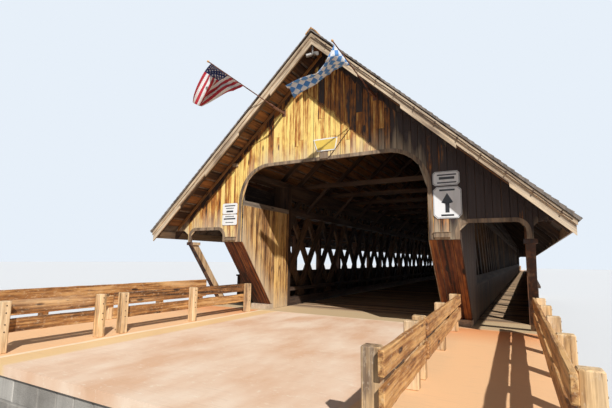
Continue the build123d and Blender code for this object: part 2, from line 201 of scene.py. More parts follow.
def surface(n, shader, group, relief, joint=None, **given):
    """Joins what a node group makes of the given values to the shader, with joints dark and sunk."""
    made = n.node("ShaderNodeGroup", node_tree=group)
    for key, value in given.items():
        n.join(value, made.inputs[key])
    colour, roughness, height = (Wire(n, socket) for socket in made.outputs)
    if joint:
        colour = n.mix(joint * 0.85, colour, (0.01, 0.007, 0.005))
        height = height - joint * 3.0
    n.join(colour, shader["Base Color"])
    n.join(roughness, shader["Roughness"])
    n.join(n.bump(height, relief), shader["Normal"])


def mineral_group():
    """Stone and concrete: blotches of two colours, fine grit, and dark stains that run down."""
    n, given, out = new_group("mineral", Vector="Vector", Tone="Float", Dark="Color", Light="Color",
                              Stain="Color", Streaks="Float")
    blotch = n.noise(given["Vector"], (22, 22, 22), 4.0)
    grit = n.noise(given["Vector"], (520, 520, 520), 2.0)
    run = n.noise(given["Vector"], (60, 60, 5))
    share = (given["Tone"] * 0.7 + (blotch - 0.35) + (grit - 0.5) * 0.35).clipped()
    wet = ((run - 0.5) * given["Streaks"]).clipped()
    n.join(n.mix(wet, n.mix(share, given["Dark"], given["Light"]), given["Stain"]), out["Color"])
    n.join(grit * 0.2 + 0.72, out["Roughness"])
    n.join(blotch * 1.5 + grit, out["Height"])
    return n.tree


mineral = mineral_group()


def mineral_material(name, dark, light, stain, streaks, toned=False):
    made, n, shader = new_material(name)
    surface(n, shader, mineral, 0.0006, Vector=n.place(), Tone=n.attribute("tone") if toned else 0.5,
            Dark=dark, Light=light, Stain=stain, Streaks=streaks)
    return made


def finish(material, *names):
    """Puts a material on every slot of CAD nodes."""
    for name in names:
        slots = nodes[name].data.materials
        for i in range(len(slots)):
            slots[i] = material
        if not len(slots):
            slots.append(material)


def add_piece(name, parts, material, replaces=()):
    """One object from a list of (points, quads, triangles, tone, foot, grain) arrays, fixed to the bridge.
    The tone says how light each board or stone is, foot is the distance from a board's lower end, and
    grain holds coordinates across, across and along a timber; the last two may be left out."""
    points, faces, tones, feet, grains, count = [], [], [], [], [], 0
    for spots, quads, triangles, tone, *more in parts:
        spots = spots.reshape(-1, 3)
        faces += (quads + count).tolist() + (triangles + count).tolist()
        points.append(spots)
        tones.append(np.broadcast_to(tone, (len(spots),)))
        feet.append(np.broadcast_to(more[0] if more else 1.0, (len(spots),)))
        grains.append(more[1] if len(more) > 1 else spots)
        count += len(spots)
    mesh = bpy.data.meshes.new(name)
    mesh.from_pydata(np.concatenate(points).tolist(), [], faces)
    for key, kind, field, values in (("tone", "FLOAT", "value", tones), ("foot", "FLOAT", "value", feet),
                                     ("grain", "FLOAT_VECTOR", "vector", grains)):
        layer = mesh.attributes.new(key, kind, "POINT")
        layer.data.foreach_set(field, np.concatenate(values).ravel().astype(np.float32))
    mesh.materials.append(material)
    obj = new_object(name, mesh)
    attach(obj, "root")
    if replaces:
        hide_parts(*replaces)
    return obj


NO_TRIANGLES = np.zeros((0, 3), int)


def repeat(cell, count, size):
    """Face indices of one cell, repeated for count cells of size points each."""
    return (np.asarray(cell)[None] + np.arange(count)[:, None, None] * size).reshape(-1, len(cell[0]))


def facing(corners, out):
    """Corners (n, 4, 3), turned where needed so that they run anticlockwise as seen from outside."""
    corners = np.array(corners, float)
    across = np.cross(corners[:, 1] - corners[:, 0], corners[:, 3] - corners[:, 0])
    wrong = (across * out).sum(1) < 0
    corners[wrong] = corners[wrong][:, [1, 0, 3, 2]]
    return corners


def pads(corners, out, rise, inset, tone):
    """Low blocks: a base quad, and the same quad moved out by rise and drawn in by inset at each side."""
    count = len(corners)
    out = np.broadcast_to(np.asarray(out, float), (count, 3))
    base = facing(corners, out)
    ahead = np.roll(base, -1, 1) - base
    ahead /= np.linalg.norm(ahead, axis=2, keepdims=True)
    top = base + (ahead - np.roll(ahead, 1, 1)) * inset + (out * np.reshape(rise, (-1, 1)))[:, None]
    cell = [[0, 1, 5, 4], [1, 2, 6, 5], [2, 3, 7, 6], [3, 0, 4, 7], [4, 5, 6, 7], [3, 2, 1, 0]]
    return np.concatenate([base, top], 1), repeat(cell, count, 8), NO_TRIANGLES, np.repeat(tone, 8)


def courses(wall, out, rows, mean, seed, rise=(0.0016, 0.0034)):
    """Stones on a wall given by four corners: level courses, each split at random widths round the mean."""
    rng = np.random.default_rng(seed)
    low_left, low_right, high_right, high_left = (np.array(corner, float) for corner in wall)
    width = np.linalg.norm(low_right - low_left)
    height = np.linalg.norm(high_left - low_left)
    levels = np.cumsum(np.concatenate([[0], rng.uniform(0.8, 1.25, rows)]))
    levels /= levels[-1]
    cells = []
    for low, high in zip(levels, levels[1:]):
        cuts = np.cumsum(rng.uniform(0.55, 1.45, max(2, round(width / mean))))
        cuts = np.concatenate([[0], cuts / cuts[-1]])
        row = np.ones(len(cuts) - 1)
        cells.append(np.stack([cuts[:-1], cuts[1:], low * row, high * row], 1))
    s0, s1, t0, t1 = np.concatenate(cells).T[:, :, None]
    s0, s1, t0, t1 = s0 + JOINT / width, s1 - JOINT / width, t0 + JOINT / height, t1 - JOINT / height

    def spot(s, t):
        return (low_left * (1 - s) + low_right * s) * (1 - t) + (high_left * (1 - s) + high_right * s) * t

    corners = np.stack([spot(s0, t0), spot(s1, t0), spot(s1, t1), spot(s0, t1)], 1)
    return pads(corners, out, rng.uniform(*rise, len(corners)), ROUNDED, rng.random(len(corners)))


SIDE, TOP, SEAT = 0.512, 0.435, 0.346   # of an abutment; the seat carries the trusses
BACK, SLAB_END, SEAT_EDGE = 4.254, 3.374, 3.274
SPREAD = 0.03                           # how far the battered faces stand out at their feet
STONE, PIER_STONE = 0.05, 0.052         # mean widths of the stones
JOINT, ROUNDED = 0.0011, 0.0012         # half a joint, and how far the face of a stone is drawn in
PIER_Y, PIER_TOP = 1.116, 0.332
PIER_HALF, PIER_LENGTH, CUTWATER = 0.06, 0.4, 0.062


def pier_outline(spread):
    """The six corners of a pier with a cutwater at each end, wider by the spread."""
    half, tip = PIER_HALF + spread, PIER_LENGTH + CUTWATER + spread
    return [(-PIER_LENGTH, -half), (PIER_LENGTH, -half), (tip, 0),
            (PIER_LENGTH, half), (-PIER_LENGTH, half), (-tip, 0)]


stone_faces = mineral_material("masonry_stone", (0.17, 0.15, 0.125), (0.50, 0.46, 0.40), (0.07, 0.065, 0.06),
                               1.4, toned=True)
mortar = mineral_material("masonry_mortar", (0.22, 0.2, 0.17), (0.36, 0.33, 0.29), (0.1, 0.09, 0.08), 1.0)
for end, sign in ENDS:
    parts = []
    back, slab_end, seat_edge = BACK * sign, SLAB_END * sign, SEAT_EDGE * sign
    foot_edge = seat_edge - SPREAD * sign
    for x in (-SIDE, SIDE):
        out, seed = (math.copysign(1, x), 0, 0), sign + int(x > 0)
        wall = [(x, back, 0), (x, slab_end, 0), (x, slab_end, TOP), (x, back, TOP)]
        parts.append(courses(wall, out, 13, STONE, 7 + seed))
        wall = [(x, slab_end, 0), (x, foot_edge, 0), (x, seat_edge, SEAT), (x, slab_end, SEAT)]
        parts.append(courses(wall, out, 10, STONE, 17 + seed))
    wall = [(-SIDE, foot_edge, 0), (SIDE, foot_edge, 0), (SIDE, seat_edge, SEAT), (-SIDE, seat_edge, SEAT)]
    parts.append(courses(wall, (0, -sign, 0.08), 10, STONE, 27 + sign))
    wall = [(-SIDE, back, 0), (SIDE, back, 0), (SIDE, back, TOP), (-SIDE, back, TOP)]
    parts.append(courses(wall, (0, sign, 0), 13, STONE, 37 + sign, rise=(0.0008, 0.0012)))
    add_piece(f"{end}_abutment_stones", parts, stone_faces)
    parts = []
    y = PIER_Y * sign
    foot, neck = pier_outline(SPREAD), pier_outline(0)
    for i in range(6):
        a, b, c, d = foot[i], foot[(i + 1) % 6], neck[(i + 1) % 6], neck[i]
        wall = [(x, y + ahead, z) for (x, ahead), z in ((a, 0), (b, 0), (c, PIER_TOP), (d, PIER_TOP))]
        out = Vector((b[1] - a[1], a[0] - b[0], 0)).normalized()
        parts.append(courses(wall, tuple(out), 9, PIER_STONE, 47 + i + sign))
    add_piece(f"{end}_pier_stones", parts, stone_faces)
finish(mortar, "near_abutment", "far_abutment", "near_pier", "far_pier")


# Floor: heavy beams across on bearing timbers, stringers along them, and planks spiked down across
# the stringers. On the abutments a concrete slab carries the fences.
def timber_group():
    """Timber with its grain along Z: fine and broad noise drawn out along the grain give the streaks,
    sparse drawn-out cells the knots, thin drawn-out cells the checks. Tone sets how light a board is."""
    n, given, out = new_group("timber", Vector="Vector", Tone="Float", Weather="Float", Flecks="Float",
                              Dark="Color", Middle="Color", Light="Color", Grey="Color")
    place = n.out("ShaderNodeVectorMath", {0: given["Tone"], 1: (3.1, 1.7, 5.3), 2: given["Vector"]},
                  operation="MULTIPLY_ADD")
    fine = n.noise(place, (700, 700, 16), 3.0, 0.65)
    streak = n.noise(place, (210, 210, 6), 4.0, 0.6)
    cloud = n.noise(place, (45, 45, 4.5))
    blotch = n.noise(place, (130, 130, 38), 3.0, 0.6)
    scuff = n.noise(place, (260, 260, 130), 3.0, 0.7).over(0.56, 9.0)
    cells = n.out("ShaderNodeTexVoronoi", {"Vector": n.mapped(place, (34, 34, 10)), "Scale": 1.0}, "Distance")
    knot = ((0.12 - cells) * 16.0).clipped()
    check = ((0.36 - fine) * 9.0).clipped()
    hollow = knot.math("MAXIMUM", check)
    uneven = (cloud - 0.5) * 1.6
    value = (streak - 0.5) * 2.1 + uneven + (fine - 0.5) * 0.7 + (blotch - 0.5) + given["Tone"]
    value = (value - knot * 0.8).clipped()
    wood = n.mix((value * 2.0).clipped(), given["Dark"], given["Middle"])
    wood = n.mix(value.over(0.5, 2.0), wood, given["Light"])
    wood = n.mix((uneven + given["Weather"]).clipped(), wood, given["Grey"])
    wood = n.mix(hollow * 0.6, wood, given["Dark"])
    n.join(n.mix(scuff * given["Flecks"], wood, given["Grey"]), out["Color"])
    n.join(streak * 0.3 + 0.55, out["Roughness"])
    n.join(streak + fine * 0.6 - hollow, out["Height"])
    return n.tree


timber = timber_group()
ALONG_X = (0, math.pi / 2, 0)
ALONG_Y = (math.pi / 2, 0, 0)
UPRIGHT = (0, 0, 0)
BLEACHED = 0.075                # length of the bleached foot of a board
SOFFIT_SHADE, RIGHT_SHADE = 1.165, 1.022    # where the slopes' shade begins, as heights over the middle
SHADE_PITCH = 0.9293            # slope of the lines where their shade begins, as steep as the roof
LEG_SHADE = 0.345               # where the shade of the right eave begins


def timber_material(name, dark, light, grey, weather, middle=None, grain=UPRIGHT, lot=0.0, joints=False,
                    toned=False, relief=0.0005, mirrored=False, bleached=0.0, flecks=0.0, fitted=False,
                    painted_roof_shade=False):
    """Wood with its grain turned to Z; mirrored turns it the other way left of the middle, and fitted reads
    it from the mesh. lot gives each stretch of that size across the bridge its own tone, with a dark joint
    between them if joints is set; toned reads the tone of each board from the mesh. bleached greys the
    lowest stretch of each board by that much, flecks is the strength of pale scuffs, and the last flag
    paints the roof's shade into the colour: the boards go dark close under the roof and farther down under
    its right slope, and right of the right eave's shade line they go darker and less grey."""
    made, n, shader = new_material(name)
    place = n.place()
    x, y, z = n.split(place)
    source = n.out("ShaderNodeCombineXYZ", {0: abs(x), 1: y, 2: z}) if mirrored else place
    source = n.attribute("grain", "Vector") if fitted else n.mapped(source, rotation=grain)
    tone = n.attribute("tone") if toned else 0.5
    joint = None
    if lot:
        number = x / lot
        tone = n.chance(number.math("FLOOR"))
    if joints:
        joint = abs(number.math("FRACT") - 0.5).over(0.465, 40.0)
    if bleached:
        weather = n.attribute("foot").over(BLEACHED, -1 / BLEACHED) * bleached + weather
    # Painted shade: dark close under the roof and under its right slope, and darker, less grey boards right
    # of the right eave's shade line.
    if painted_roof_shade:
        level = (n.noise(place, (90, 90, 9), 2.0) - 0.5) * 0.03 + z
        aside = x.over(LEG_SHADE, 60.0) * 0.6
        tone = tone - (level + abs(x) * SHADE_PITCH).over(SOFFIT_SHADE, 160.0) * 0.75
        tone = tone - (level + x * SHADE_PITCH).over(RIGHT_SHADE, 90.0) * 0.45 - aside * 0.3
        weather = weather - aside
    middle = middle or [(a + b) / 2 for a, b in zip(dark, light)]
    surface(n, shader, timber, relief, joint, Vector=source, Tone=tone, Weather=weather, Flecks=flecks,
            Dark=dark, Middle=middle, Light=light, Grey=grey)
    return made


def board_set(corners, out, thick, tone, chamfer=0.0006, above=0.0):
    """Boards: a six-sided profile of back, two sides, two chamfers and face, carried from the lower to the
    upper edge of each back quad, so that the ends may be cut at any angle. above is added to the distance
    from their lower ends."""
    count = len(corners)
    out = np.broadcast_to(np.asarray(out, float), (count, 3))
    back = facing(corners, out)
    thick = np.broadcast_to(np.asarray(thick, float), (count,))
    width = np.linalg.norm(back[:, 1] - back[:, 0], axis=1)
    nip = np.minimum(chamfer / width, 0.3)
    zero, one = np.zeros(count), np.ones(count)
    side = np.stack([zero, one, one, one - nip, nip, zero], 1)[..., None]
    rise = np.stack([zero, zero, thick - chamfer, thick, thick, thick - chamfer], 1)[..., None]
    low = back[:, None, 0] + (back[:, 1] - back[:, 0])[:, None] * side + out[:, None] * rise
    high = back[:, None, 3] + (back[:, 2] - back[:, 3])[:, None] * side + out[:, None] * rise
    cell = [[i + 6, (i + 1) % 6 + 6, (i + 1) % 6, i] for i in range(6)]
    cell += [[0, 1, 2, 5], [5, 2, 3, 4], [11, 8, 7, 6], [10, 9, 8, 11]]
    length = np.linalg.norm(back[:, 3] - back[:, 0], axis=1)
    foot = above + np.repeat(np.stack([zero, length], 1).ravel(), 6)
    return np.concatenate([low, high], 1), repeat(cell, count, 12), NO_TRIANGLES, np.repeat(tone, 12), foot


def cuts(start, end, mean, rng, spread=0.3):
    """Edges of boards of random width that fill the stretch from start to end."""
    count = max(1, round(abs(end - start) / mean))
    widths = rng.uniform(1 - spread, 1 + spread, count)
    return start + (end - start) * np.concatenate([[0], np.cumsum(widths) / widths.sum()])


def rectangle(*corners):
    """Quads (n, 4, 3) from four corners whose coordinates are numbers or arrays."""
    return np.stack([np.stack(np.broadcast_arrays(*map(np.atleast_1d, corner)), -1) for corner in corners], 1)


PLANK, FLOOR_END = 0.008, 3.373
# Dark timber for the frame, the walls and the back of the gables: dark wood, made darker still as painted
# shade of the inside.
DARK_AND_SHADED = dict(dark=(0.014, 0.008, 0.006), light=(0.115, 0.058, 0.029), grey=(0.14, 0.11, 0.085))
beams_across = timber_material("timber_across", weather=0.1, grain=ALONG_X, **DARK_AND_SHADED)
beams_along = timber_material("timber_along", weather=0.1, grain=ALONG_Y, **DARK_AND_SHADED)
finish(beams_across, "floor_beams")
finish(beams_along, "bearing_timbers", "floor_stringers")
worn_planks = timber_material("deck_planks", (0.12, 0.065, 0.035), (0.62, 0.40, 0.21), (0.52, 0.40, 0.28),
                              0.15, grain=ALONG_X, toned=True)
rng = np.random.default_rng(3)
for name, lanes in (("road_deck", [(-0.268, 0.268)]), ("walkway_decks", [(0.339, 0.464), (-0.464, -0.339)])):
    parts = []
    for x0, x1 in lanes:
        edges = cuts(-FLOOR_END, FLOOR_END, 0.0225, rng, 0.08)
        y0, y1, z = edges[:-1] + 0.0004, edges[1:] - 0.0004, DECK - PLANK
        corners = rectangle((x0, y0, z), (x0, y1, z), (x1, y1, z), (x1, y0, z))
        parts.append(board_set(corners, (0, 0, 1), PLANK, rng.random(len(y0))))
    add_piece(f"{name}_planks", parts, worn_planks, [name])
SEAM = 3.515                    # pale joint that ends the boards inside the portal


def paving():
    """The slab by its places: a pale pink road with lighter flecks, a yellow gutter and a pale kerb line on
    its left, orange walkways that redden towards the portal, and dusty boards inside a pale joint."""
    made, n, shader = new_material("paving")
    place = n.place()
    x, y = n.split(place)[:2]
    grit = n.noise(place, (520, 520, 520), 3.0, 0.7)
    brushed = n.noise(place, (30, 420, 30))
    patch = n.noise(place, (13, 6, 9), 4.0)
    fleck = n.noise(place, (90, 150, 90), 3.0, 0.7).over(0.60, 8.0)
    ahead = abs(y)
    aside = abs(x) + (patch - 0.5) * 0.02
    leftward = (patch - 0.5) * 0.016 - x
    seam = abs(ahead - SEAM).over(0.0025, -900.0)
    worn = grit.over(0.42, -3.0) * 0.5 + brushed.over(0.45, -3.0) * 0.4
    road = n.mix(patch.over(0.36, 3.6), (0.76, 0.47, 0.29), (0.90, 0.69, 0.51))
    walkway = n.mix(ahead.over(3.54, 6.0), (0.80, 0.33, 0.12), (0.88, 0.53, 0.27))
    colour = n.mix(fleck * 0.6, road, (0.94, 0.82, 0.66))
    colour = n.mix(leftward.over(0.216, 90.0) * 0.75, colour, (0.84, 0.56, 0.24))
    colour = n.mix(leftward.over(0.272, 400.0), colour, (0.94, 0.74, 0.50))
    colour = n.mix(aside.over(0.284, 400.0), colour, walkway)
    colour = n.mix(ahead.over(3.512, -160.0), colour, (0.60, 0.43, 0.24))
    colour = n.mix(seam * 0.8, colour, (0.92, 0.76, 0.50))
    colour = n.mix(worn, colour, (0.55, 0.34, 0.20))
    n.join(colour, shader["Base Color"])
    n.join(grit * 0.2 + 0.72, shader["Roughness"])
    n.join(n.bump(grit + brushed * 0.8, 0.0003), shader["Normal"])
    return made


finish(paving(), "near_approach_slab", "far_approach_slab")


# Trusses: sawn planks in two layers that lean opposite ways, pinned where they cross, between chords
# that run the whole length, with posts at the ends and a plate on top.
BETWEEN_LAYERS, LATTICE_FOOT = 0.3045, 0.426
PLANK_RUN, PLANK_RISE, SPACING = 0.310, 0.441, 0.124


def lattice_material():
    """Planks of the inner layer lean one way and those of the outer layer the other: |X| picks the grain."""
    made, n, shader = new_material("lattice_planks")
    place = n.place()
    x, y, z = n.split(place)
    outer = abs(x).math("GREATER_THAN", BETWEEN_LAYERS)
    lean = math.atan2(PLANK_RUN, PLANK_RISE)
    one, other = (n.mapped(place, rotation=(angle, 0, 0)) for angle in (lean, -lean))
    grain = n.out("ShaderNodeMix", {0: outer, 4: one, 5: other}, 1, data_type="VECTOR")
    foot = y - (z - LATTICE_FOOT) * (PLANK_RUN / PLANK_RISE) * (1.0 - outer * 2.0)
    tone = n.chance((foot / SPACING).math("FLOOR") + outer * 77.3)
    surface(n, shader, timber, 0.0005, Vector=grain, Tone=tone, Dark=(0.018, 0.010, 0.007),
            Middle=(0.08, 0.042, 0.02), Light=(0.18, 0.095, 0.042), Grey=(0.17, 0.13, 0.10))
    return made


finish(lattice_material(), *(f"{hand}_{span}_lattice" for hand, sign in HANDS
                             for span in ("near", "middle", "far")))
finish(beams_along, "left_chords", "right_chords", "wall_plates")
posts_upright = timber_material("timber_upright", weather=0.0, **DARK_AND_SHADED)
finish(posts_upright, "truss_end_posts")


# Walls of the walkways: upright boards with a capped wainscot on the truss, and a low boarded parapet
# between the eave posts on the outside.
WALL_END = 3.347
wall_boards = timber_material("dark_boards", weather=0.15, toned=True, **DARK_AND_SHADED)
rng = np.random.default_rng(5)
for hand, sign in HANDS:
    edges = cuts(-WALL_END, WALL_END, 0.018, rng)
    y0, y1 = edges[:-1] + 0.0003, edges[1:] - 0.0003
    parts = []
    for aside, z0, z1, away in ((0.3365, 0.427, 0.541, sign), (0.4890, 0.397, 0.544, sign),
                                (0.4850, 0.397, 0.550, -sign)):
        x = aside * sign
        corners = rectangle((x, y0, z0), (x, y1, z0), (x, y1, z1), (x, y0, z1))
        parts.append(board_set(corners, (away, 0, 0), 0.0012, rng.random(len(y0))))
    add_piece(f"{hand}_wall_boards", parts, wall_boards)
finish(beams_along, "left_walkway_wall", "right_walkway_wall", "left_parapet", "right_parapet", "eave_plates")
red_posts = timber_material("eave_post_timber", (0.02, 0.008, 0.005), (0.22, 0.085, 0.03), (0.20, 0.14, 0.10),
                            0.0)
finish(red_posts, "eave_posts")


# Inner frames: a tie beam across the plates at every second bay, with a knee brace under each end. The
# grain of the braces follows their slope on both sides.
finish(beams_across, "tie_beams")
braces = timber_material("timber_braces", weather=0.1, grain=(0, math.pi / 4, 0), mirrored=True, **DARK_AND_SHADED)
finish(braces, "knee_braces")


# Gable walls: upright boards of mixed width nailed over the frame, orange, dark at their joints and
# bleached grey at their lower ends, with painted shade under the roof, right of the middle and at the
# far left.
PILLAR_FOOT, GABLE_TOP = 0.210, 0.749                           # over the deck; the top is over the middle
REACHES = (0, 0.2705, 0.339, 0.470, 0.483, 0.5424)              # road, pillar, walkway, post and outer leg
WALKWAY_MIDDLE, BOARD = 0.4045, 0.0165                          # BOARD is the mean width of the boards


def rounded(x, start, level, radius):
    """Height of an edge that is straight up to the start and then rounds down to the level: the level plus
    the root of radius^2 - (x - start)^2."""
    return level + np.sqrt(np.clip(radius ** 2 - np.clip(x - start, 0, None) ** 2, 0, None))


def lower_end(x):
    """Lower end of the boards over x: the round-cornered head of the road opening, the level heads of the
    walkway openings with their small round corners, and the straight feet of the legs."""
    x = np.abs(x)
    road = rounded(x, 0.175, 0.333, 0.095)
    walkway = rounded(np.abs(x - WALKWAY_MIDDLE), 0.0455, 0.226, 0.020)
    leg = rounded(0.497 - x, 0, 0.232, 0.014)
    return np.select([x < reach for reach in REACHES[1:5]], [road, PILLAR_FOOT, walkway, PILLAR_FOOT], leg)


def gable_boards(sign, seed):
    """Boards from their lower end up to the roof, some of them in two lengths that butt. Painted shade makes
    them darker on the right of the middle, and a little darker on the far left."""
    rng = np.random.default_rng(seed)
    stretches = [(hand * start, hand * end) for hand in (-1, 1) for start, end in zip(REACHES, REACHES[1:])]
    rows = [cuts(start, end, BOARD, rng) for start, end in stretches]
    left = np.concatenate([np.minimum(row[:-1], row[1:]) for row in rows])
    right = np.concatenate([np.maximum(row[:-1], row[1:]) for row in rows])
    count = len(left)
    left += rng.choice([0.0003, 0.0005, 0.0011], count)
    right -= rng.choice([0.0003, 0.0006], count)
    low_left, low_right = lower_end(left), lower_end(right)
    high_left, high_right = GABLE_TOP - PITCH * np.abs(left), GABLE_TOP - PITCH * np.abs(right)
    butt = np.where(rng.random(count) < 0.45, rng.choice([0.475, 0.492, 0.51, 0.545], count), 9)
    least, most = np.maximum(low_left, low_right) + 0.03, np.minimum(high_left, high_right) - 0.03
    split = (butt > least) & (butt < most)
    middle = (left + right) / 2
    # Painted shade: lower tones right of the middle and at the far left, by the middle of each board.
    shade = 0.55 * np.clip((middle - 0.10) / 0.12, 0, 1) + 0.16 * np.clip((-0.28 - middle) / 0.1, 0, 1)
    tone = np.clip(rng.normal(0.80, 0.17, count) - shade, 0.02, 1)
    rise = rng.uniform(0.0009, 0.0015, count)
    y, out = sign * GABLE, (0, sign, 0)
    z0, z1 = np.where(split, butt, high_left), np.where(split, butt, high_right)
    corners = rectangle((left, y, low_left), (right, y, low_right), (right, y, z1), (left, y, z0))
    lower = board_set(corners + (0, 0, DECK), out, rise, tone, 0.0004)
    x0, x1, z0 = left[split], right[split], butt[split] + 0.0006
    corners = rectangle((x0, y, z0), (x1, y, z0), (x1, y, high_right[split]), (x0, y, high_left[split]))
    tone = np.clip(rng.normal(0.72, 0.22, len(x0)) - shade[split], 0.02, 1)
    return [lower, board_set(corners + (0, 0, DECK), out, rise[split] + 0.0003, tone, 0.0004, above=0.2)]


gable_finish = timber_material("gable_boards", (0.022, 0.009, 0.005), (1.0, 0.74, 0.22), (0.62, 0.49, 0.33),
                               -0.16, middle=(0.48, 0.17, 0.03), toned=True, relief=0.0006, bleached=0.8,
                               painted_roof_shade=True)
gable_back = timber_material("gable_back", weather=0.1, lot=0.017, joints=True, **DARK_AND_SHADED)
finish(gable_back, "near_gable_wall", "far_gable_wall")
for end, sign in ENDS:
    add_piece(f"{end}_gable_boards", gable_boards(sign, 11 + sign), gable_finish)
trim_finish = timber_material("grey_trim", (0.05, 0.032, 0.022), (0.38, 0.25, 0.14), (0.38, 0.30, 0.22), 0.2)
finish(trim_finish, "opening_trims")


# Truss end housings: boarded cheeks on both sides and a raked front of long boards, on a pale block,
# with a raked post beyond each walkway.
BLOCK, BLOCK_END, CHEEK_END = 0.015, 3.460, 3.6345
RAKE_FOOT, RAKE_RUN, RAKE_RISE = 3.473, 0.162, 0.195
LEAN = math.atan2(RAKE_RUN, RAKE_RISE)
cheek_finish = timber_material("cheek_boards", (0.045, 0.020, 0.010), (0.86, 0.53, 0.17), (0.60, 0.47, 0.31),
                               -0.02, middle=(0.36, 0.17, 0.055), toned=True, bleached=0.7)
RED_BROWN = dict(dark=(0.010, 0.004, 0.003), middle=(0.14, 0.035, 0.010), light=(0.40, 0.14, 0.032),
                 grey=(0.20, 0.11, 0.06), weather=-0.1, toned=True)
rng = np.random.default_rng(8)
for end, sign in ENDS:
    inner_parts, outer_parts, fronts = [], [], []
    for hand in (-1, 1):
        for x, away, start, top, parts in ((0.270 * hand, -hand, 3.3725, 0.319, inner_parts),
                                           (0.339 * hand, hand, 3.3485, 0.400, outer_parts)):
            edges = cuts(start, BLOCK_END, BOARD, rng)[:-1]
            edges = np.concatenate([edges, cuts(BLOCK_END, CHEEK_END, BOARD, rng)])
            y = np.stack([edges[:-1] + 0.0005, edges[1:] - 0.0005])
            low = BLOCK + np.clip(y - RAKE_FOOT, 0, None) * RAKE_RISE / RAKE_RUN
            z = DECK + np.where(y < BLOCK_END, 0.001, low)
            y, top = y * sign, DECK + top
            corners = rectangle((x, y[0], z[0]), (x, y[1], z[1]), (x, y[1], top), (x, y[0], top))
            tone = rng.uniform(0.25, 0.9, len(z[0]))
            parts.append(board_set(corners, (away, 0, 0), 0.0009, tone, 0.0003))
        edges = cuts(hand * 0.2705, hand * 0.3385, 0.0175, rng, 0.15)
        x0, x1 = edges[:-1] + 0.0006 * hand, edges[1:] - 0.0006 * hand
        y0, y1 = sign * RAKE_FOOT, sign * (RAKE_FOOT + RAKE_RUN)
        z0, z1 = DECK + BLOCK, DECK + BLOCK + RAKE_RISE
        corners = rectangle((x0, y0, z0), (x1, y0, z0), (x1, y1, z1), (x0, y1, z1))
        normal = np.array((0, sign * RAKE_RISE, -RAKE_RUN)) / math.hypot(RAKE_RUN, RAKE_RISE)
        fronts.append(board_set(corners, normal, 0.001, rng.uniform(0.15, 0.75, len(x0)), 0.0003))
    add_piece(f"{end}_cheek_boards", inner_parts, cheek_finish)
    # The cheeks' faces on the walkway side take the dark boards, as painted shade of the walkway.
    add_piece(f"{end}_outer_cheek_boards", outer_parts, wall_boards)
    raked_finish = timber_material(f"raked_boards_{end}", grain=(sign * LEAN, 0, 0), **RED_BROWN)
    add_piece(f"{end}_raked_boards", fronts, raked_finish)


def housing_timber():
    """Grey head timber on the road side; beyond |X| = 0.29 m the boards are painted dark as shade, and not
    greyed.
    """
    made, n, shader = new_material("head_timber")
    place = n.place()
    painted_shade_beyond = abs(n.split(place)[0]).over(0.29, 1000.0)
    surface(n, shader, timber, 0.0005, Vector=n.mapped(place, rotation=ALONG_Y), Tone=0.5 - painted_shade_beyond * 0.7,
            Weather=0.35 - painted_shade_beyond * 1.2, Dark=(0.020, 0.013, 0.010), Middle=(0.16, 0.115, 0.08),
            Light=(0.34, 0.26, 0.18), Grey=(0.36, 0.30, 0.23))
    return made


def tan_flanks():
    """Raked posts: red-brown on the faces that lean, tan and greyer on the flanks that face across the
    bridge.
    """
    made, n, shader = new_material("raked_post_timber")
    normal = n.out("ShaderNodeNewGeometry", output="True Normal")
    flank = abs(n.split(normal)[0]).over(0.7, 10.0)
    surface(n, shader, timber, 0.0005, Vector=n.place(), Tone=flank * 0.4 + 0.35, Weather=flank * 0.25,
            Dark=(0.02, 0.008, 0.005), Middle=n.mix(flank, (0.07, 0.025, 0.01), (0.40, 0.24, 0.11)),
            Light=n.mix(flank, (0.20, 0.08, 0.03), (0.66, 0.44, 0.23)), Grey=(0.55, 0.42, 0.28))
    return made


finish(housing_timber(), "near_end_housings", "far_end_housings")
finish(tan_flanks(), "raked_eave_posts")
pale_timber = timber_material("pale_timber", (0.22, 0.15, 0.10), (0.66, 0.50, 0.34), (0.60, 0.50, 0.38), 0.3,
                              grain=ALONG_Y)
finish(pale_timber, "foot_blocks")


# Roof: rafters in pairs over the plates, battens along them, and shakes in courses. Each shake is a
# wedge, thin under the course above and thick at its butt, with a gap to its neighbour.
RIDGE, ROOF_END, COURSES = 1.214, 3.726, 48
SLOPE = 0.561 / math.cos(THETA)         # length of a slope from the ridge to the eave
THIN, UNDER, SHELL = -0.0024, -0.0026, -0.008       # heights of thin ends, undersides and the boarding
DOWN_SLOPE = (0, math.pi / 2 - THETA, 0)


def on_slope(hand, down, y, height):
    """Point on one slope: down it from the ridge, along the bridge, and out from its top plane."""
    x = hand * (down * math.cos(THETA) + height * math.sin(THETA))
    z = RIDGE - down * math.sin(THETA) + height * math.cos(THETA)
    return np.stack(np.broadcast_arrays(x, y, z), -1)


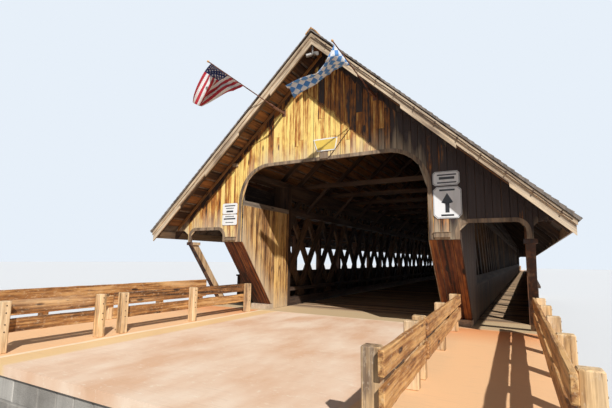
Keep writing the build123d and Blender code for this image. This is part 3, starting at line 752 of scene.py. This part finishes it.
def shakes(hand, seed):
    """Courses of wedges: the n-th starts n shows below the ridge, its thin end lies 2.4 mm under the top
    plane and its butt on it, and widths, butts and heights vary a little at random."""
    rng = np.random.default_rng(seed)
    show = SLOPE / COURSES
    rows = [cuts(-ROOF_END, ROOF_END, 0.0158, rng, 0.38) for row in range(COURSES)]
    left = np.concatenate([row[:-1] for row in rows]) + 0.0003
    right = np.concatenate([row[1:] for row in rows]) - 0.0003
    down = np.repeat(np.arange(COURSES) * show, [len(row) - 1 for row in rows])
    butt = np.minimum(down + show + rng.uniform(-0.0006, 0.0012, len(down)), SLOPE)
    top = rng.uniform(-0.0009, 0.0, len(down)) - 0.0003
    skew = rng.uniform(-0.0003, 0.0003, len(down))
    spots = ((down, left, THIN), (down, right, THIN), (butt, right, top + skew), (butt, left, top - skew),
             (butt, right, UNDER), (butt, left, UNDER))
    points = np.stack([on_slope(hand, *spot) for spot in spots], 1)
    quads = np.array([[0, 3, 2, 1], [3, 5, 4, 2], [0, 1, 4, 5]])
    ends = np.array([[0, 5, 3], [1, 2, 4]])
    box_quads = np.array([[0, 4, 5, 1], [1, 5, 6, 2], [2, 6, 7, 3], [3, 7, 4, 0], [0, 1, 2, 3], [7, 6, 5, 4]])
    if hand < 0:
        quads, ends, box_quads = (faces[:, ::-1] for faces in (quads, ends, box_quads))
    count = len(down)
    tone = np.repeat(rng.random(count), 6)
    rim = [(0.0, UNDER), (SLOPE, UNDER), (SLOPE, SHELL), (0.0, SHELL)]
    shell = np.stack([on_slope(hand, down, y, height) for y in (-ROOF_END, ROOF_END) for down, height in rim])
    shell[[0, 3, 4, 7], 0] = 0.0
    return [(points, repeat(quads, count, 6), repeat(ends, count, 6), tone),
            (shell, box_quads, NO_TRIANGLES, 0.3)]


shake_finish = timber_material("shakes", (0.045, 0.032, 0.024), (0.27, 0.19, 0.13), (0.30, 0.27, 0.235), 0.3,
                               toned=True, relief=0.0004)
for hand, sign in HANDS:
    add_piece(f"{hand}_shakes", shakes(sign, 21 + sign), shake_finish, [f"{hand}_roof_shingles"])


def cap_boards():
    """Weathered boards along the ridge, and a newer orange-brown one at each end, beyond |Y| = 3.69 m."""
    made, n, shader = new_material("ridge_boards")
    place = n.place()
    ahead = abs(n.split(place)[1])
    newer = ahead.over(3.690, 2000.0)
    surface(n, shader, timber, 0.0004, Vector=n.mapped(place, rotation=ALONG_Y),
            Tone=n.chance((ahead / 0.12).math("FLOOR")), Weather=0.3 - newer, Dark=(0.05, 0.036, 0.027),
            Middle=n.mix(newer, (0.15, 0.11, 0.08), (0.50, 0.24, 0.08)),
            Light=n.mix(newer, (0.28, 0.21, 0.15), (0.85, 0.48, 0.18)), Grey=(0.31, 0.28, 0.24))
    return made


finish(cap_boards(), "ridge_cap")
rafter_timber = timber_material("rafter_timber", weather=0.1, grain=DOWN_SLOPE, mirrored=True, **DARK_AND_SHADED)
finish(rafter_timber, "left_rafters", "right_rafters")
batten_timber = timber_material("batten_timber", (0.035, 0.014, 0.007), (0.36, 0.15, 0.045), (0.3, 0.2, 0.12),
                                0.0, grain=ALONG_Y, lot=0.025)
finish(batten_timber, "left_roof_battens", "right_roof_battens")
verge_finish = timber_material("grey_verge", (0.20, 0.13, 0.08), (0.84, 0.64, 0.41), (0.68, 0.56, 0.42), 0.15,
                               grain=DOWN_SLOPE, mirrored=True)
finish(verge_finish, "near_rake_boards", "far_rake_boards")
finish(pale_timber, "eave_boards")


# Fences on the approach: sawn posts with bevelled heads, and two planks bolted to one face of them,
# darker than the posts, warped a little and scuffed pale.
POST_WIDE, POST_DEEP, POST_HIGH = 0.018, 0.015, 0.085
RAIL_THICK, RAIL_TALL, RAIL_TOPS = 0.006, 0.023, (0.084, 0.053)
EYE_GAP = 0.006                 # how much higher the outer left rails lie, to open a view between rails
BOLT, BOLT_HEIGHTS = 0.0012, (0.078, 0.066, 0.047, 0.035)
FENCE_START, FENCE_REACH = -0.066, 0.653        # from the gable, and from there to the last post
# For each fence: its kind, the distances of its posts from the gable by section, each side with the x of
# its face at its start and at its end, and whether the rails are on the inner face of the posts.
FENCES = (("curb", ((-0.066, 0.158, 0.361), (0.413, 0.587)), ((1, 0.301, 0.330), (-1, 0.282, 0.300)), False),
          ("outer", ((-0.070, 0.092, 0.254, 0.416, 0.578),), ((1, 0.480, 0.496), (-1, 0.480, 0.496)), True))
UP = np.array((0.0, 0.0, 1.0))


def post_feet(hand, start, end, distances):
    """Points of the road face at distances from the near gable: x runs straight from start to end."""
    distances = np.array(distances)
    x = hand * (start + (end - start) * (distances - FENCE_START) / FENCE_REACH)
    return np.stack([x, -GABLE - distances, np.full(len(x), DECK)], 1)


def skin(rings, sides):
    """Faces of a closed tube made of rings of points: quads between the rings, and a fan at each end whose
    middles are the two points after the rings."""
    i, k = np.meshgrid(np.arange(rings - 1), np.arange(sides), indexing="ij")
    after = (k + 1) % sides
    quads = np.stack([i * sides + k, i * sides + after, (i + 1) * sides + after, (i + 1) * sides + k], -1)
    k, after, last, tip = np.arange(sides), after[0], (rings - 1) * sides, np.full(sides, rings * sides)
    caps = np.concatenate([np.stack([after, k, tip], 1), np.stack([last + k, last + after, tip + 1], 1)])
    return quads.reshape(-1, 4), caps


def beam(start, end, side, wide, deep, rng, steps, wander, tone, bevel=0.0012):
    """A sawn timber: a rectangle with cut corners, carried from start to end in steps. Each ring is moved a
    little at random, and the two end rings are drawn in by the bevel. side is the direction of its width."""
    length = np.linalg.norm(end - start)
    ahead = (end - start) / length
    third = np.cross(ahead, side)
    run = np.concatenate([[0], np.linspace(bevel, length - bevel, steps), [length]])[:, None, None]
    a, b = wide / 2, deep / 2
    ring = np.array([(a, bevel - b), (a, b - bevel), (a - bevel, b), (bevel - a, b),
                     (-a, b - bevel), (-a, bevel - b), (bevel - a, -b), (a - bevel, -b)])
    size = np.ones((len(run), 1, 2))
    size[[0, -1]] = 1 - 2 * bevel / np.array((wide, deep))
    flat = ring[None] * size + rng.uniform(-wander, wander, (len(run), 1, 2))
    points = start + run * ahead + flat[..., :1] * side + flat[..., 1:] * third
    local = np.concatenate([flat, np.broadcast_to(run, (len(run), 8, 1))], 2).reshape(-1, 3)
    local = np.concatenate([local, [(0, 0, 0), (0, 0, length)]]) + rng.uniform(0, 9, 3)
    return np.concatenate([points.reshape(-1, 3), [start, end]]), *skin(len(run), 8), tone, 1.0, local


def fence(hand, start, end, far, sections, inside, rng):
    """Posts and rails of one fence, mirrored to the far gable if far is 1."""
    mirror = np.array((1.0, -far, 1.0))
    posts, rails = [], []
    for distances in sections:
        feet = post_feet(hand, start, end, distances)
        run = (feet[-1] - feet[0]) / np.linalg.norm(feet[-1] - feet[0])
        away = np.array((-run[1], run[0], 0.0)) * hand
        for foot in feet:
            foot = (foot + away * POST_WIDE / 2) * mirror
            tone = rng.uniform(0.3, 0.85)
            posts.append(beam(foot, foot + UP * POST_HIGH, away * mirror, POST_WIDE, POST_DEEP, rng, 5,
                              0.0002, tone))
        offset = -RAIL_THICK / 2 if inside else POST_WIDE + RAIL_THICK / 2
        raised = EYE_GAP if inside and hand < 0 else 0.0
        for top in RAIL_TOPS:
            level = UP * (top + raised - RAIL_TALL / 2) + away * offset
            first, last = feet[0] - run * POST_DEEP + level, feet[-1] + run * POST_DEEP + level
            tone = 0.72 if hand > 0 else 0.30 if top == RAIL_TOPS[0] and not inside else 0.58
            rails.append(beam(first * mirror, last * mirror, UP, RAIL_TALL, RAIL_THICK, rng,
                              3 + 4 * len(feet), 0.0005, tone, 0.0009))
    return posts, rails


def mottled(name, one, other, scale, uneven, detail=3.0, metallic=0.0, sparse=False):
    """Metal or enamel: noise mixes two colours and adds up to uneven to the roughness; sparse leaves only the
    highest patches of the noise."""
    made, n, shader = new_material(name)
    share = n.noise(n.place(), scale, detail)
    if sparse:
        share = share.over(0.45, 1.6)
    n.join(n.mix(share, one, other), shader["Base Color"])
    n.join(share * uneven + 0.3, shader["Roughness"])
    n.join(metallic, shader["Metallic"])
    return made


def bolt_heads(centres, out, size, sides):
    """Round heads: a ring on the face, a smaller ring most of the way out, and a pole over its middle."""
    flat = np.cross(UP, out)
    angle = np.linspace(0, 2 * math.pi, sides, endpoint=False)[None, :, None]
    ring = (flat[:, None] * np.cos(angle) + UP * np.sin(angle)) * size
    waist = centres[:, None] + (ring + out[:, None] * size) * 0.75
    poles = np.stack([centres, centres + out * size], 1)
    quads, caps = skin(2, sides)
    points = np.concatenate([centres[:, None] + ring, waist, poles], 1)
    return points, *(repeat(faces, len(centres), 2 * sides + 2) for faces in (quads, caps)), 0.5


SAWN = dict(toned=True, fitted=True, relief=0.0007, flecks=0.35)
post_finish = timber_material("post_timber", (0.13, 0.065, 0.028), (0.88, 0.58, 0.28), (0.76, 0.60, 0.42),
                              0.22, middle=(0.52, 0.31, 0.13), **SAWN)
rail_finish = timber_material("rail_timber", (0.05, 0.020, 0.008), (0.68, 0.38, 0.14), (0.74, 0.57, 0.38),
                              -0.10, middle=(0.33, 0.14, 0.040), **SAWN)
iron = mottled("bolt_iron", (0.02, 0.016, 0.014), (0.13, 0.065, 0.04), (900, 900, 900), 0.5, metallic=0.6)
for end, far in ENDS:
    rng = np.random.default_rng(60 + far)
    for kind, sections, sides, inside in FENCES:
        built = [fence(*side, far, sections, inside, rng) for side in sides]
        for piece, material, made in zip(("posts", "rails"), (post_finish, rail_finish), zip(*built)):
            name, old = f"{end}_{kind}_{piece}", f"{end}_{kind}_fences"
            add_piece(name, sum(made, []), material, [old])
for end, far in ENDS:
    spots, ways = [], []
    for kind, sections, sides, inside in FENCES:
        for side in sides:
            feet = post_feet(*side, sum(sections, ())) * (1, -far, 1)
            away = side[0] if inside else -side[0]
            feet[:, 0] += away * POST_WIDE if inside else 0
            for height in BOLT_HEIGHTS:
                spots.append(feet + UP * height)
                ways.append(np.tile((away, 0.0, 0.0), (len(feet), 1)))
    heads = bolt_heads(np.concatenate(spots), np.concatenate(ways), BOLT, 8)
    add_piece(f"{end}_fence_bolts", [heads], iron)


# Frieze and small boards of the gables: a board under the soffit over the board ends, a narrow ledge
# under each sign, and blocks over the middle and the left corner of the road opening. The frieze is
# painted dark as the shade under the soffit, the right one darker than the left.
FRIEZE_FOOT, FRIEZE_HEAD = 1.186, 1.198                         # over the middle of the bridge
frieze_painted_shade = timber_material("frieze_boards", (0.03, 0.012, 0.006), (0.20, 0.10, 0.04), (0.25, 0.18, 0.12),
                                -0.1, grain=DOWN_SLOPE, middle=(0.40, 0.17, 0.045), toned=True, mirrored=True)
for end, sign in ENDS:
    y, out = sign * (GABLE + 0.0014), (0, sign, 0)
    parts = []
    for hand in (-1, 1):
        spots = ((0.008, FRIEZE_FOOT), (0.008, FRIEZE_HEAD), (0.527, FRIEZE_HEAD), (0.527, FRIEZE_FOOT))
        corners = rectangle(*((hand * x, y, z - PITCH * x) for x, z in spots))
        parts.append(board_set(corners, out, 0.0022, [0.75 if hand < 0 else 0.2]))
    add_piece(f"{end}_frieze", parts, frieze_painted_shade)
    parts = []
    for x0, x1, z0, z1 in ((-0.3275, -0.2903, 0.6634, 0.6728), (0.2836, 0.3190, 0.6645, 0.6753),
                           (-0.0095, 0.0125, 0.8807, 0.8992), (-0.309, -0.290, 0.888, 0.896)):
        corners = rectangle((x0, y, z0), (x0, y, z1), (x1, y, z1), (x1, y, z0))
        parts.append(board_set(corners, out, 0.0048, [0.6]))
        x0, x1, z2 = x0 - 0.001, x1 + 0.001, z1 + 0.0018
        corners = rectangle((x0, y, z1), (x0, y, z2), (x1, y, z2), (x1, y, z1))
        parts.append(board_set(corners, out, 0.0062, [0.8]))
    add_piece(f"{end}_ledges", parts, trim_finish)


# Signs: enamelled plates screwed to the pillars beside the road, and a small tapered plaque over it.
# The plates carry plain bars and one arrow, and two of them have a black rim.
FACE, ENAMEL, MARK = -3.6424, 0.0006, 0.0002     # back of the plates, and thicknesses of plate and mark


def plate(outline, back, thick):
    """A flat plate: its outline, given anticlockwise as (x, z) seen from the road, at two depths, closed by
    fans from the middle of each face. back is how far its back stands out from the back of the signs."""
    ring = np.array(outline, float)
    rows = [np.insert(np.vstack([ring, ring.mean(0)]), 1, FACE - out, 1) for out in (back, back + thick)]
    points = np.concatenate([rows[0][:-1], rows[1][:-1], rows[0][-1:], rows[1][-1:]])
    return points, *skin(2, len(ring)), 0.5


def box(x0, x1, z0, z1):
    return [(x0, z0), (x1, z0), (x1, z1), (x0, z1)]


def cut_corners(x0, x1, z0, z1, nip):
    """The outline of a box with each of its corners cut off."""
    return [(x0 + nip, z0), (x1 - nip, z0), (x1, z0 + nip), (x1, z1 - nip),
            (x1 - nip, z1), (x0 + nip, z1), (x0, z1 - nip), (x0, z0 + nip)]


def shrink(outline, by):
    """The outline drawn in towards its middle by a given distance on each side."""
    ring = np.array(outline, float)
    middle = ring.mean(0)
    half = np.abs(ring - middle).max(0)
    return middle + (ring - middle) * (half - by) / half


DIRTY = dict(scale=(60, 60, 18), uneven=0.4, detail=4.0, sparse=True)
white = mottled("white_enamel", (0.86, 0.86, 0.84), (0.66, 0.64, 0.58), **DIRTY)
black = mottled("black_enamel", (0.015, 0.015, 0.016), (0.05, 0.045, 0.04), **DIRTY)
yellow = mottled("yellow_enamel", (0.80, 0.56, 0.10), (0.62, 0.42, 0.12), **DIRTY)
rimmed = [cut_corners(0.284, 0.346, 0.708, 0.781, 0.008), cut_corners(0.284, 0.343, 0.784, 0.817, 0.005)]
plain = [cut_corners(-0.343, -0.287, 0.744, 0.776, 0.003), cut_corners(-0.343, -0.287, 0.710, 0.742, 0.003)]
plaque = [(-0.0205, 0.902), (0.0345, 0.902), (0.0405, 0.937), (-0.0315, 0.937)]
arrow = [(0.3105, 0.721), (0.3195, 0.721), (0.3195, 0.744), (0.328, 0.744), (0.315, 0.766), (0.302, 0.744),
         (0.3105, 0.744)]
bars = ((0.294, 0.336, 0.807, 0.003), (0.298, 0.332, 0.798, 0.006), (0.294, 0.336, 0.789, 0.003),
        (0.298, 0.332, 0.771, 0.004), (0.301, 0.329, 0.713, 0.004), (-0.335, -0.295, 0.767, 0.003),
        (-0.330, -0.300, 0.760, 0.002), (-0.328, -0.302, 0.749, 0.005), (-0.332, -0.298, 0.735, 0.002),
        (-0.337, -0.293, 0.727, 0.004), (-0.330, -0.300, 0.717, 0.002))
FIELD = ENAMEL + 2 * MARK                        # the white field of a rimmed sign lies on its black rim
plates = [plate(outline, 0, ENAMEL) for outline in rimmed + plain + [plaque]]
plates += [plate(shrink(outline, 0.0019), ENAMEL + MARK, MARK) for outline in rimmed]
marks = [plate(shrink(outline, 0.0012), ENAMEL, MARK) for outline in rimmed]
marks += [plate(box(x0, x1, z, z + high), FIELD if x0 > 0 else ENAMEL, MARK) for x0, x1, z, high in bars]
marks.append(plate(arrow, FIELD, MARK))
add_piece("sign_plates", plates, white)
add_piece("sign_marks", marks, black)
add_piece("plaque_field", [plate(shrink(plaque, 0.003), ENAMEL, 0.0003)], yellow)


# Fittings on the gable: flag poles of dark turned wood on iron brackets, a twin lamp under the ridge,
# and a string of small lights clipped along the right verge.
def tube(line, radius, sides=6):
    """A round tube: a ring of points square to the line at each of its points, closed at both ends."""
    line = np.asarray(line, float)
    ahead = np.gradient(line, axis=0)
    ahead /= np.linalg.norm(ahead, axis=1, keepdims=True)
    side = np.cross(ahead, (0.31, 0.17, 0.93))
    side /= np.linalg.norm(side, axis=1, keepdims=True)
    angle = np.linspace(0, 2 * math.pi, sides, endpoint=False)[:, None]
    ring = side[:, None] * np.cos(angle) + np.cross(ahead, side)[:, None] * np.sin(angle)
    radius = np.reshape(np.broadcast_to(radius, (len(line),)), (-1, 1, 1))
    points = np.concatenate([(line[:, None] + ring * radius).reshape(-1, 3), line[[0, -1]]])
    return points, *skin(len(line), sides), 0.5


def verge_height(x):
    """Height of the string of lights over x, just under the edge of the right verge."""
    return 1.1965 - PITCH * x


VERGE, START, LENGTH, COUNT = -3.7249, 0.012, 0.533, 160
# The poles, each from the foot to the tip of the stretch that carries the flag.
POLES = {"left": ((-0.130, -3.700, 1.032), (-0.223, -3.860, 1.110)),
         "right": ((0.146, -3.700, 1.031), (0.118, -3.840, 1.087))}
dark_wood = timber_material("pole_wood", (0.05, 0.018, 0.010), (0.22, 0.08, 0.04), (0.2, 0.13, 0.09), 0.1)
finish(dark_wood, "left_flag_pole", "right_flag_pole")
lamp_finish = mottled("lamp_metal", (0.16, 0.14, 0.12), (0.40, 0.37, 0.33), (300, 300, 300), 0.3,
                      metallic=0.3)
finish(lamp_finish, "gable_lamp")
brass = mottled("pole_knobs", (0.45, 0.20, 0.06), (0.85, 0.48, 0.18), (600, 600, 600), 0.3, 2.0)
x = np.linspace(START, START + LENGTH, COUNT)
sag = 0.0012 * np.sin(np.linspace(0, 11 * math.pi, COUNT)) ** 2
string = [tube(np.stack([x, np.full(COUNT, VERGE), verge_height(x) - sag], 1), 0.0006)]
for x in START + LENGTH * np.linspace(0.06, 0.97, 12):
    z = verge_height(x)
    string.append(tube([(x, -3.7240, z + 0.001), (x, -3.7262, z + 0.001)], 0.0013))
    string.append(tube([(x, -3.7255, z - 0.0005), (x, -3.7258, z - 0.0025), (x, -3.7260, z - 0.0045)],
                       (0.0008, 0.0013, 0.0005)))
string.append(tube([(0.0777, -3.6425, 0.9566), (0.055, -3.6425, 0.930), (0.030, -3.6425, 0.8993),
                    (0.0115, -3.6432, 0.8790)], 0.0010))
string.append(tube([(-0.236, -3.6440, 0.9640), (-0.270, -3.6440, 0.9310), (-0.301, -3.6440, 0.8980)], 0.0008))
add_piece("light_string", string, iron)
knobs = []
for foot, tip in np.array(list(POLES.values())):
    share = np.linspace(0, 1, 9)
    ahead = (tip - foot) / np.linalg.norm(tip - foot)
    width = 0.0012 + 0.0016 * np.sin(math.pi * share) ** 0.7
    knobs.append(tube(tip + ahead * (0.0065 * share[:, None] - 0.0005), width, 12))
add_piece("pole_knobs", knobs, brass)


# Flags: each a sewn sheet tied to its pole, blown to the left and gathered towards its free end. The
# stripes, stars and lozenges are dyed in.
def smooth(points, share):
    """A smooth line through a few points, as a polynomial in the share of its length."""
    points = np.array(points, float)
    reach = np.concatenate([[0], np.cumsum(np.linalg.norm(np.diff(points, axis=0), axis=1))])
    reach /= reach[-1]
    order = min(4, len(points) - 1)
    return np.stack([np.polyval(np.polyfit(reach, points[:, axis], order), share) for axis in range(3)], 1)


def settle(grid, flat, steps):
    """Moves the points of a sheet, held along its first row, until its threads and its diagonals have the
    lengths they were cut to. Points three threads apart keep their distance too, so it doesn't crumple."""
    rows, columns = grid.shape[:2]
    along, across = flat[1] / (rows - 1), flat[0] / (columns - 1)
    start = grid.copy()
    for step in range(steps):
        grid[1:] += (start[1:] - grid[1:]) * 0.03 * max(0.0, 1 - step / (0.75 * steps))
        move = np.zeros_like(grid)
        for down, over in ((1, 0), (0, 1), (1, 1), (1, -1), (3, 0), (0, 3)):
            one = slice(0, rows - down), slice(max(0, -over), columns - max(0, over))
            other = slice(down, rows), slice(max(0, over), columns - max(0, -over))
            gap = grid[other] - grid[one]
            size = np.linalg.norm(gap, axis=2, keepdims=True)
            length = math.hypot(down * along, over * across)
            strength = np.where(size < 0.97 * length, 0.3, 0.0) if down + abs(over) > 2 else 1.0
            shift = gap * (1 - length / size) * strength * 0.16
            move[one] += shift
            move[other] -= shift
        grid[1:] += move[1:]
    return grid


def finer(grid, count):
    """More rows through the given ones, on cubic arcs that leave each row towards its neighbours."""
    at = np.linspace(0, len(grid) - 1, count)
    first = np.clip(at.astype(int), 0, len(grid) - 2)
    t = (at - first)[:, None, None]
    a, b, c, d = (grid[np.clip(first + step, 0, len(grid) - 1)] for step in (-1, 0, 1, 2))
    return b + 0.5 * t * (c - a + t * (2 * a - 5 * b + 4 * c - d + t * (3 * (b - c) + d - a)))


def parameters(rows, columns):
    """The shares of the fly and of the hoist at each point of a sheet of rows and columns."""
    return np.meshgrid(np.linspace(0, 1, rows), np.linspace(0, 1, columns), indexing="ij")


def flag(hand, hoist, top, low, flat, wave, slot, pattern):
    """A sheet between two edge lines, which start at two shares of the pole, with folds along its fly, that
    then settles to the size it was cut. wave gives the folds' depth, the power of the fly that they grow
    with, their number across the hoist, how much they slant and where they start."""
    foot, tip = np.array(POLES[hand])
    top, low = ([foot + (tip - foot) * share - TIED * UP, *edge] for share, edge in zip(hoist, (top, low)))
    u, v = parameters(31, 21)
    a, b = smooth(top, u[:, 0])[:, None], smooth(low, u[:, 0])[:, None]
    grid = a * (1 - v)[..., None] + b * v[..., None]
    normal = np.cross(np.gradient(grid, axis=0), np.gradient(grid, axis=1))
    normal /= np.linalg.norm(normal, axis=2, keepdims=True)
    depth, power, folds, slant, phase = wave
    grid += normal * (depth * u ** power * np.sin(2 * math.pi * (folds * v + slant * u) + phase))[..., None]
    rows, columns = 121, 61
    grid = finer(finer(settle(grid, flat, 1800), rows).swapaxes(0, 1), columns).swapaxes(0, 1)
    spread = np.stack(parameters(rows, columns), -1).reshape(-1, 2)
    i, j = np.meshgrid(np.arange(rows - 1), np.arange(columns - 1), indexing="ij")
    first = (i * columns + j).reshape(-1, 1)
    quads = first + (0, 1, columns + 1, columns)
    parts = [(grid, quads, NO_TRIANGLES, 0.5)]
    sheet = add_piece(f"{hand}_flag_cloth", parts, cloth_material(slot, pattern), [f"{hand}_flag"])
    layer = sheet.data.uv_layers.new(name="cut")
    layer.data.foreach_set("uv", spread[quads.ravel()].ravel().astype(np.float32))
    sheet.data.shade_smooth()
    wall = sheet.modifiers.new("thickness", "SOLIDIFY")
    wall.thickness = 0.0003
    wall.offset = 0.0


def cloth_material(name, pattern):
    """Woven cloth: the pattern gives its colour from the cut's own coordinates, and threads its relief."""
    made, n, shader = new_material(name)
    cut = n.out("ShaderNodeUVMap", uv_map="cut")
    u, v = n.split(cut)[:2]
    soil = (n.noise(cut, (7, 5, 1), 4.0) * -0.28 + 0.14).clipped()
    threads = (u * 900.0).math("SINE") + (v * 560.0).math("SINE")
    n.join(n.mix(soil, pattern(n, u, v), (0.35, 0.32, 0.28)), shader["Base Color"])
    n.join(0.85, shader["Roughness"])
    n.join(0.15, shader["Sheen Weight"])
    n.join(n.bump(threads, 0.00006), shader["Normal"])
    return made


def stripes_and_stars(n, u, v):
    """Thirteen stripes across the hoist, and a canton of seven stripes' depth with staggered stars."""
    odd = (v * 13.0).math("MODULO", 2.0).math("GREATER_THAN", 1.0)
    cloth = n.mix(odd, (0.46, 0.02, 0.035), (0.82, 0.80, 0.77))
    column, row = u * 30.0, v * (10.0 * 13 / 7)
    i, j = column.math("ROUND"), row.math("ROUND")
    dx, dy = (column - i) * 0.0051, (row - j) * 0.0050
    reach = (dx * dx + dy * dy).math("SQRT")
    edge = (dx.math("ARCTAN2", dy) * 5.0).math("COSINE") * 0.0007 + 0.0017
    even = (i + j).math("MODULO", 2.0).math("LESS_THAN", 0.5)
    inside = i.math("COMPARE", 6.0, 5.4) * j.math("COMPARE", 5.0, 4.4)
    star = reach.math("LESS_THAN", edge) * even * inside
    canton = n.mix(star, (0.018, 0.028, 0.13), (0.84, 0.83, 0.80))
    return n.mix(u.math("LESS_THAN", 0.4) * v.math("LESS_THAN", 7 / 13), cloth, canton)


def lozenges(n, u, v):
    """Two slanted sets of bands whose crossings change colour make the lozenges."""
    bands = (u * 9.0 + v * 3.5).math("FLOOR") + (u * 7.0 - v * 4.5).math("FLOOR")
    odd = abs(bands.math("MODULO", 2.0)).math("GREATER_THAN", 0.5)
    return n.mix(odd, (0.10, 0.30, 0.66), (0.84, 0.86, 0.87))


TIED = 0.0022                   # how far the cloth lies under the middle line of its pole
flag("left", (0.97, 0.49),
     [(-0.2534, -3.8286, 1.1134), (-0.2716, -3.8274, 1.0712), (-0.2910, -3.8266, 1.0273)],
     [(-0.2085, -3.7791, 1.0677), (-0.2449, -3.7811, 1.0627), (-0.2824, -3.7828, 1.0532),
      (-0.3183, -3.7830, 1.0391)],
     (0.096, 0.146), (0.008, 0.8, 2.0, 0.1, 3.0), "striped_cloth", stripes_and_stars)
flag("right", (0.97, 0.54),
     [(0.1130, -3.8571, 1.0513), (0.0925, -3.8381, 1.0300), (0.0477, -3.8383, 1.0208),
      (-0.0015, -3.8396, 1.0039)],
     [(0.1047, -3.7825, 1.0539), (0.0803, -3.7834, 1.0419), (0.0414, -3.7923, 1.0177),
      (-0.0014, -3.8026, 0.9883)],
     (0.066, 0.152), (0.005, 0.8, 1.5, 0.2, 0.0), "lozenge_cloth", lozenges)


# Studio: a plain pale floor at the foot of the masonry. It throws back less light than its look would,
# so that the undersides of the bridge stay dark.
ground = bpy.data.meshes.new("studio_floor")
ground.from_pydata([(-40, -40, 0), (40, -40, 0), (40, 40, 0), (-40, 40, 0)], [], [(0, 1, 2, 3)])
pale, n, shader = new_material("pale_floor")
n.join(n.mix(n.looking(), (0.3, 0.3, 0.3), (0.8, 0.8, 0.79)), shader["Base Color"])
n.join(0.8, shader["Roughness"])
ground.materials.append(pale)
studio_floor = new_object("studio_floor", ground)
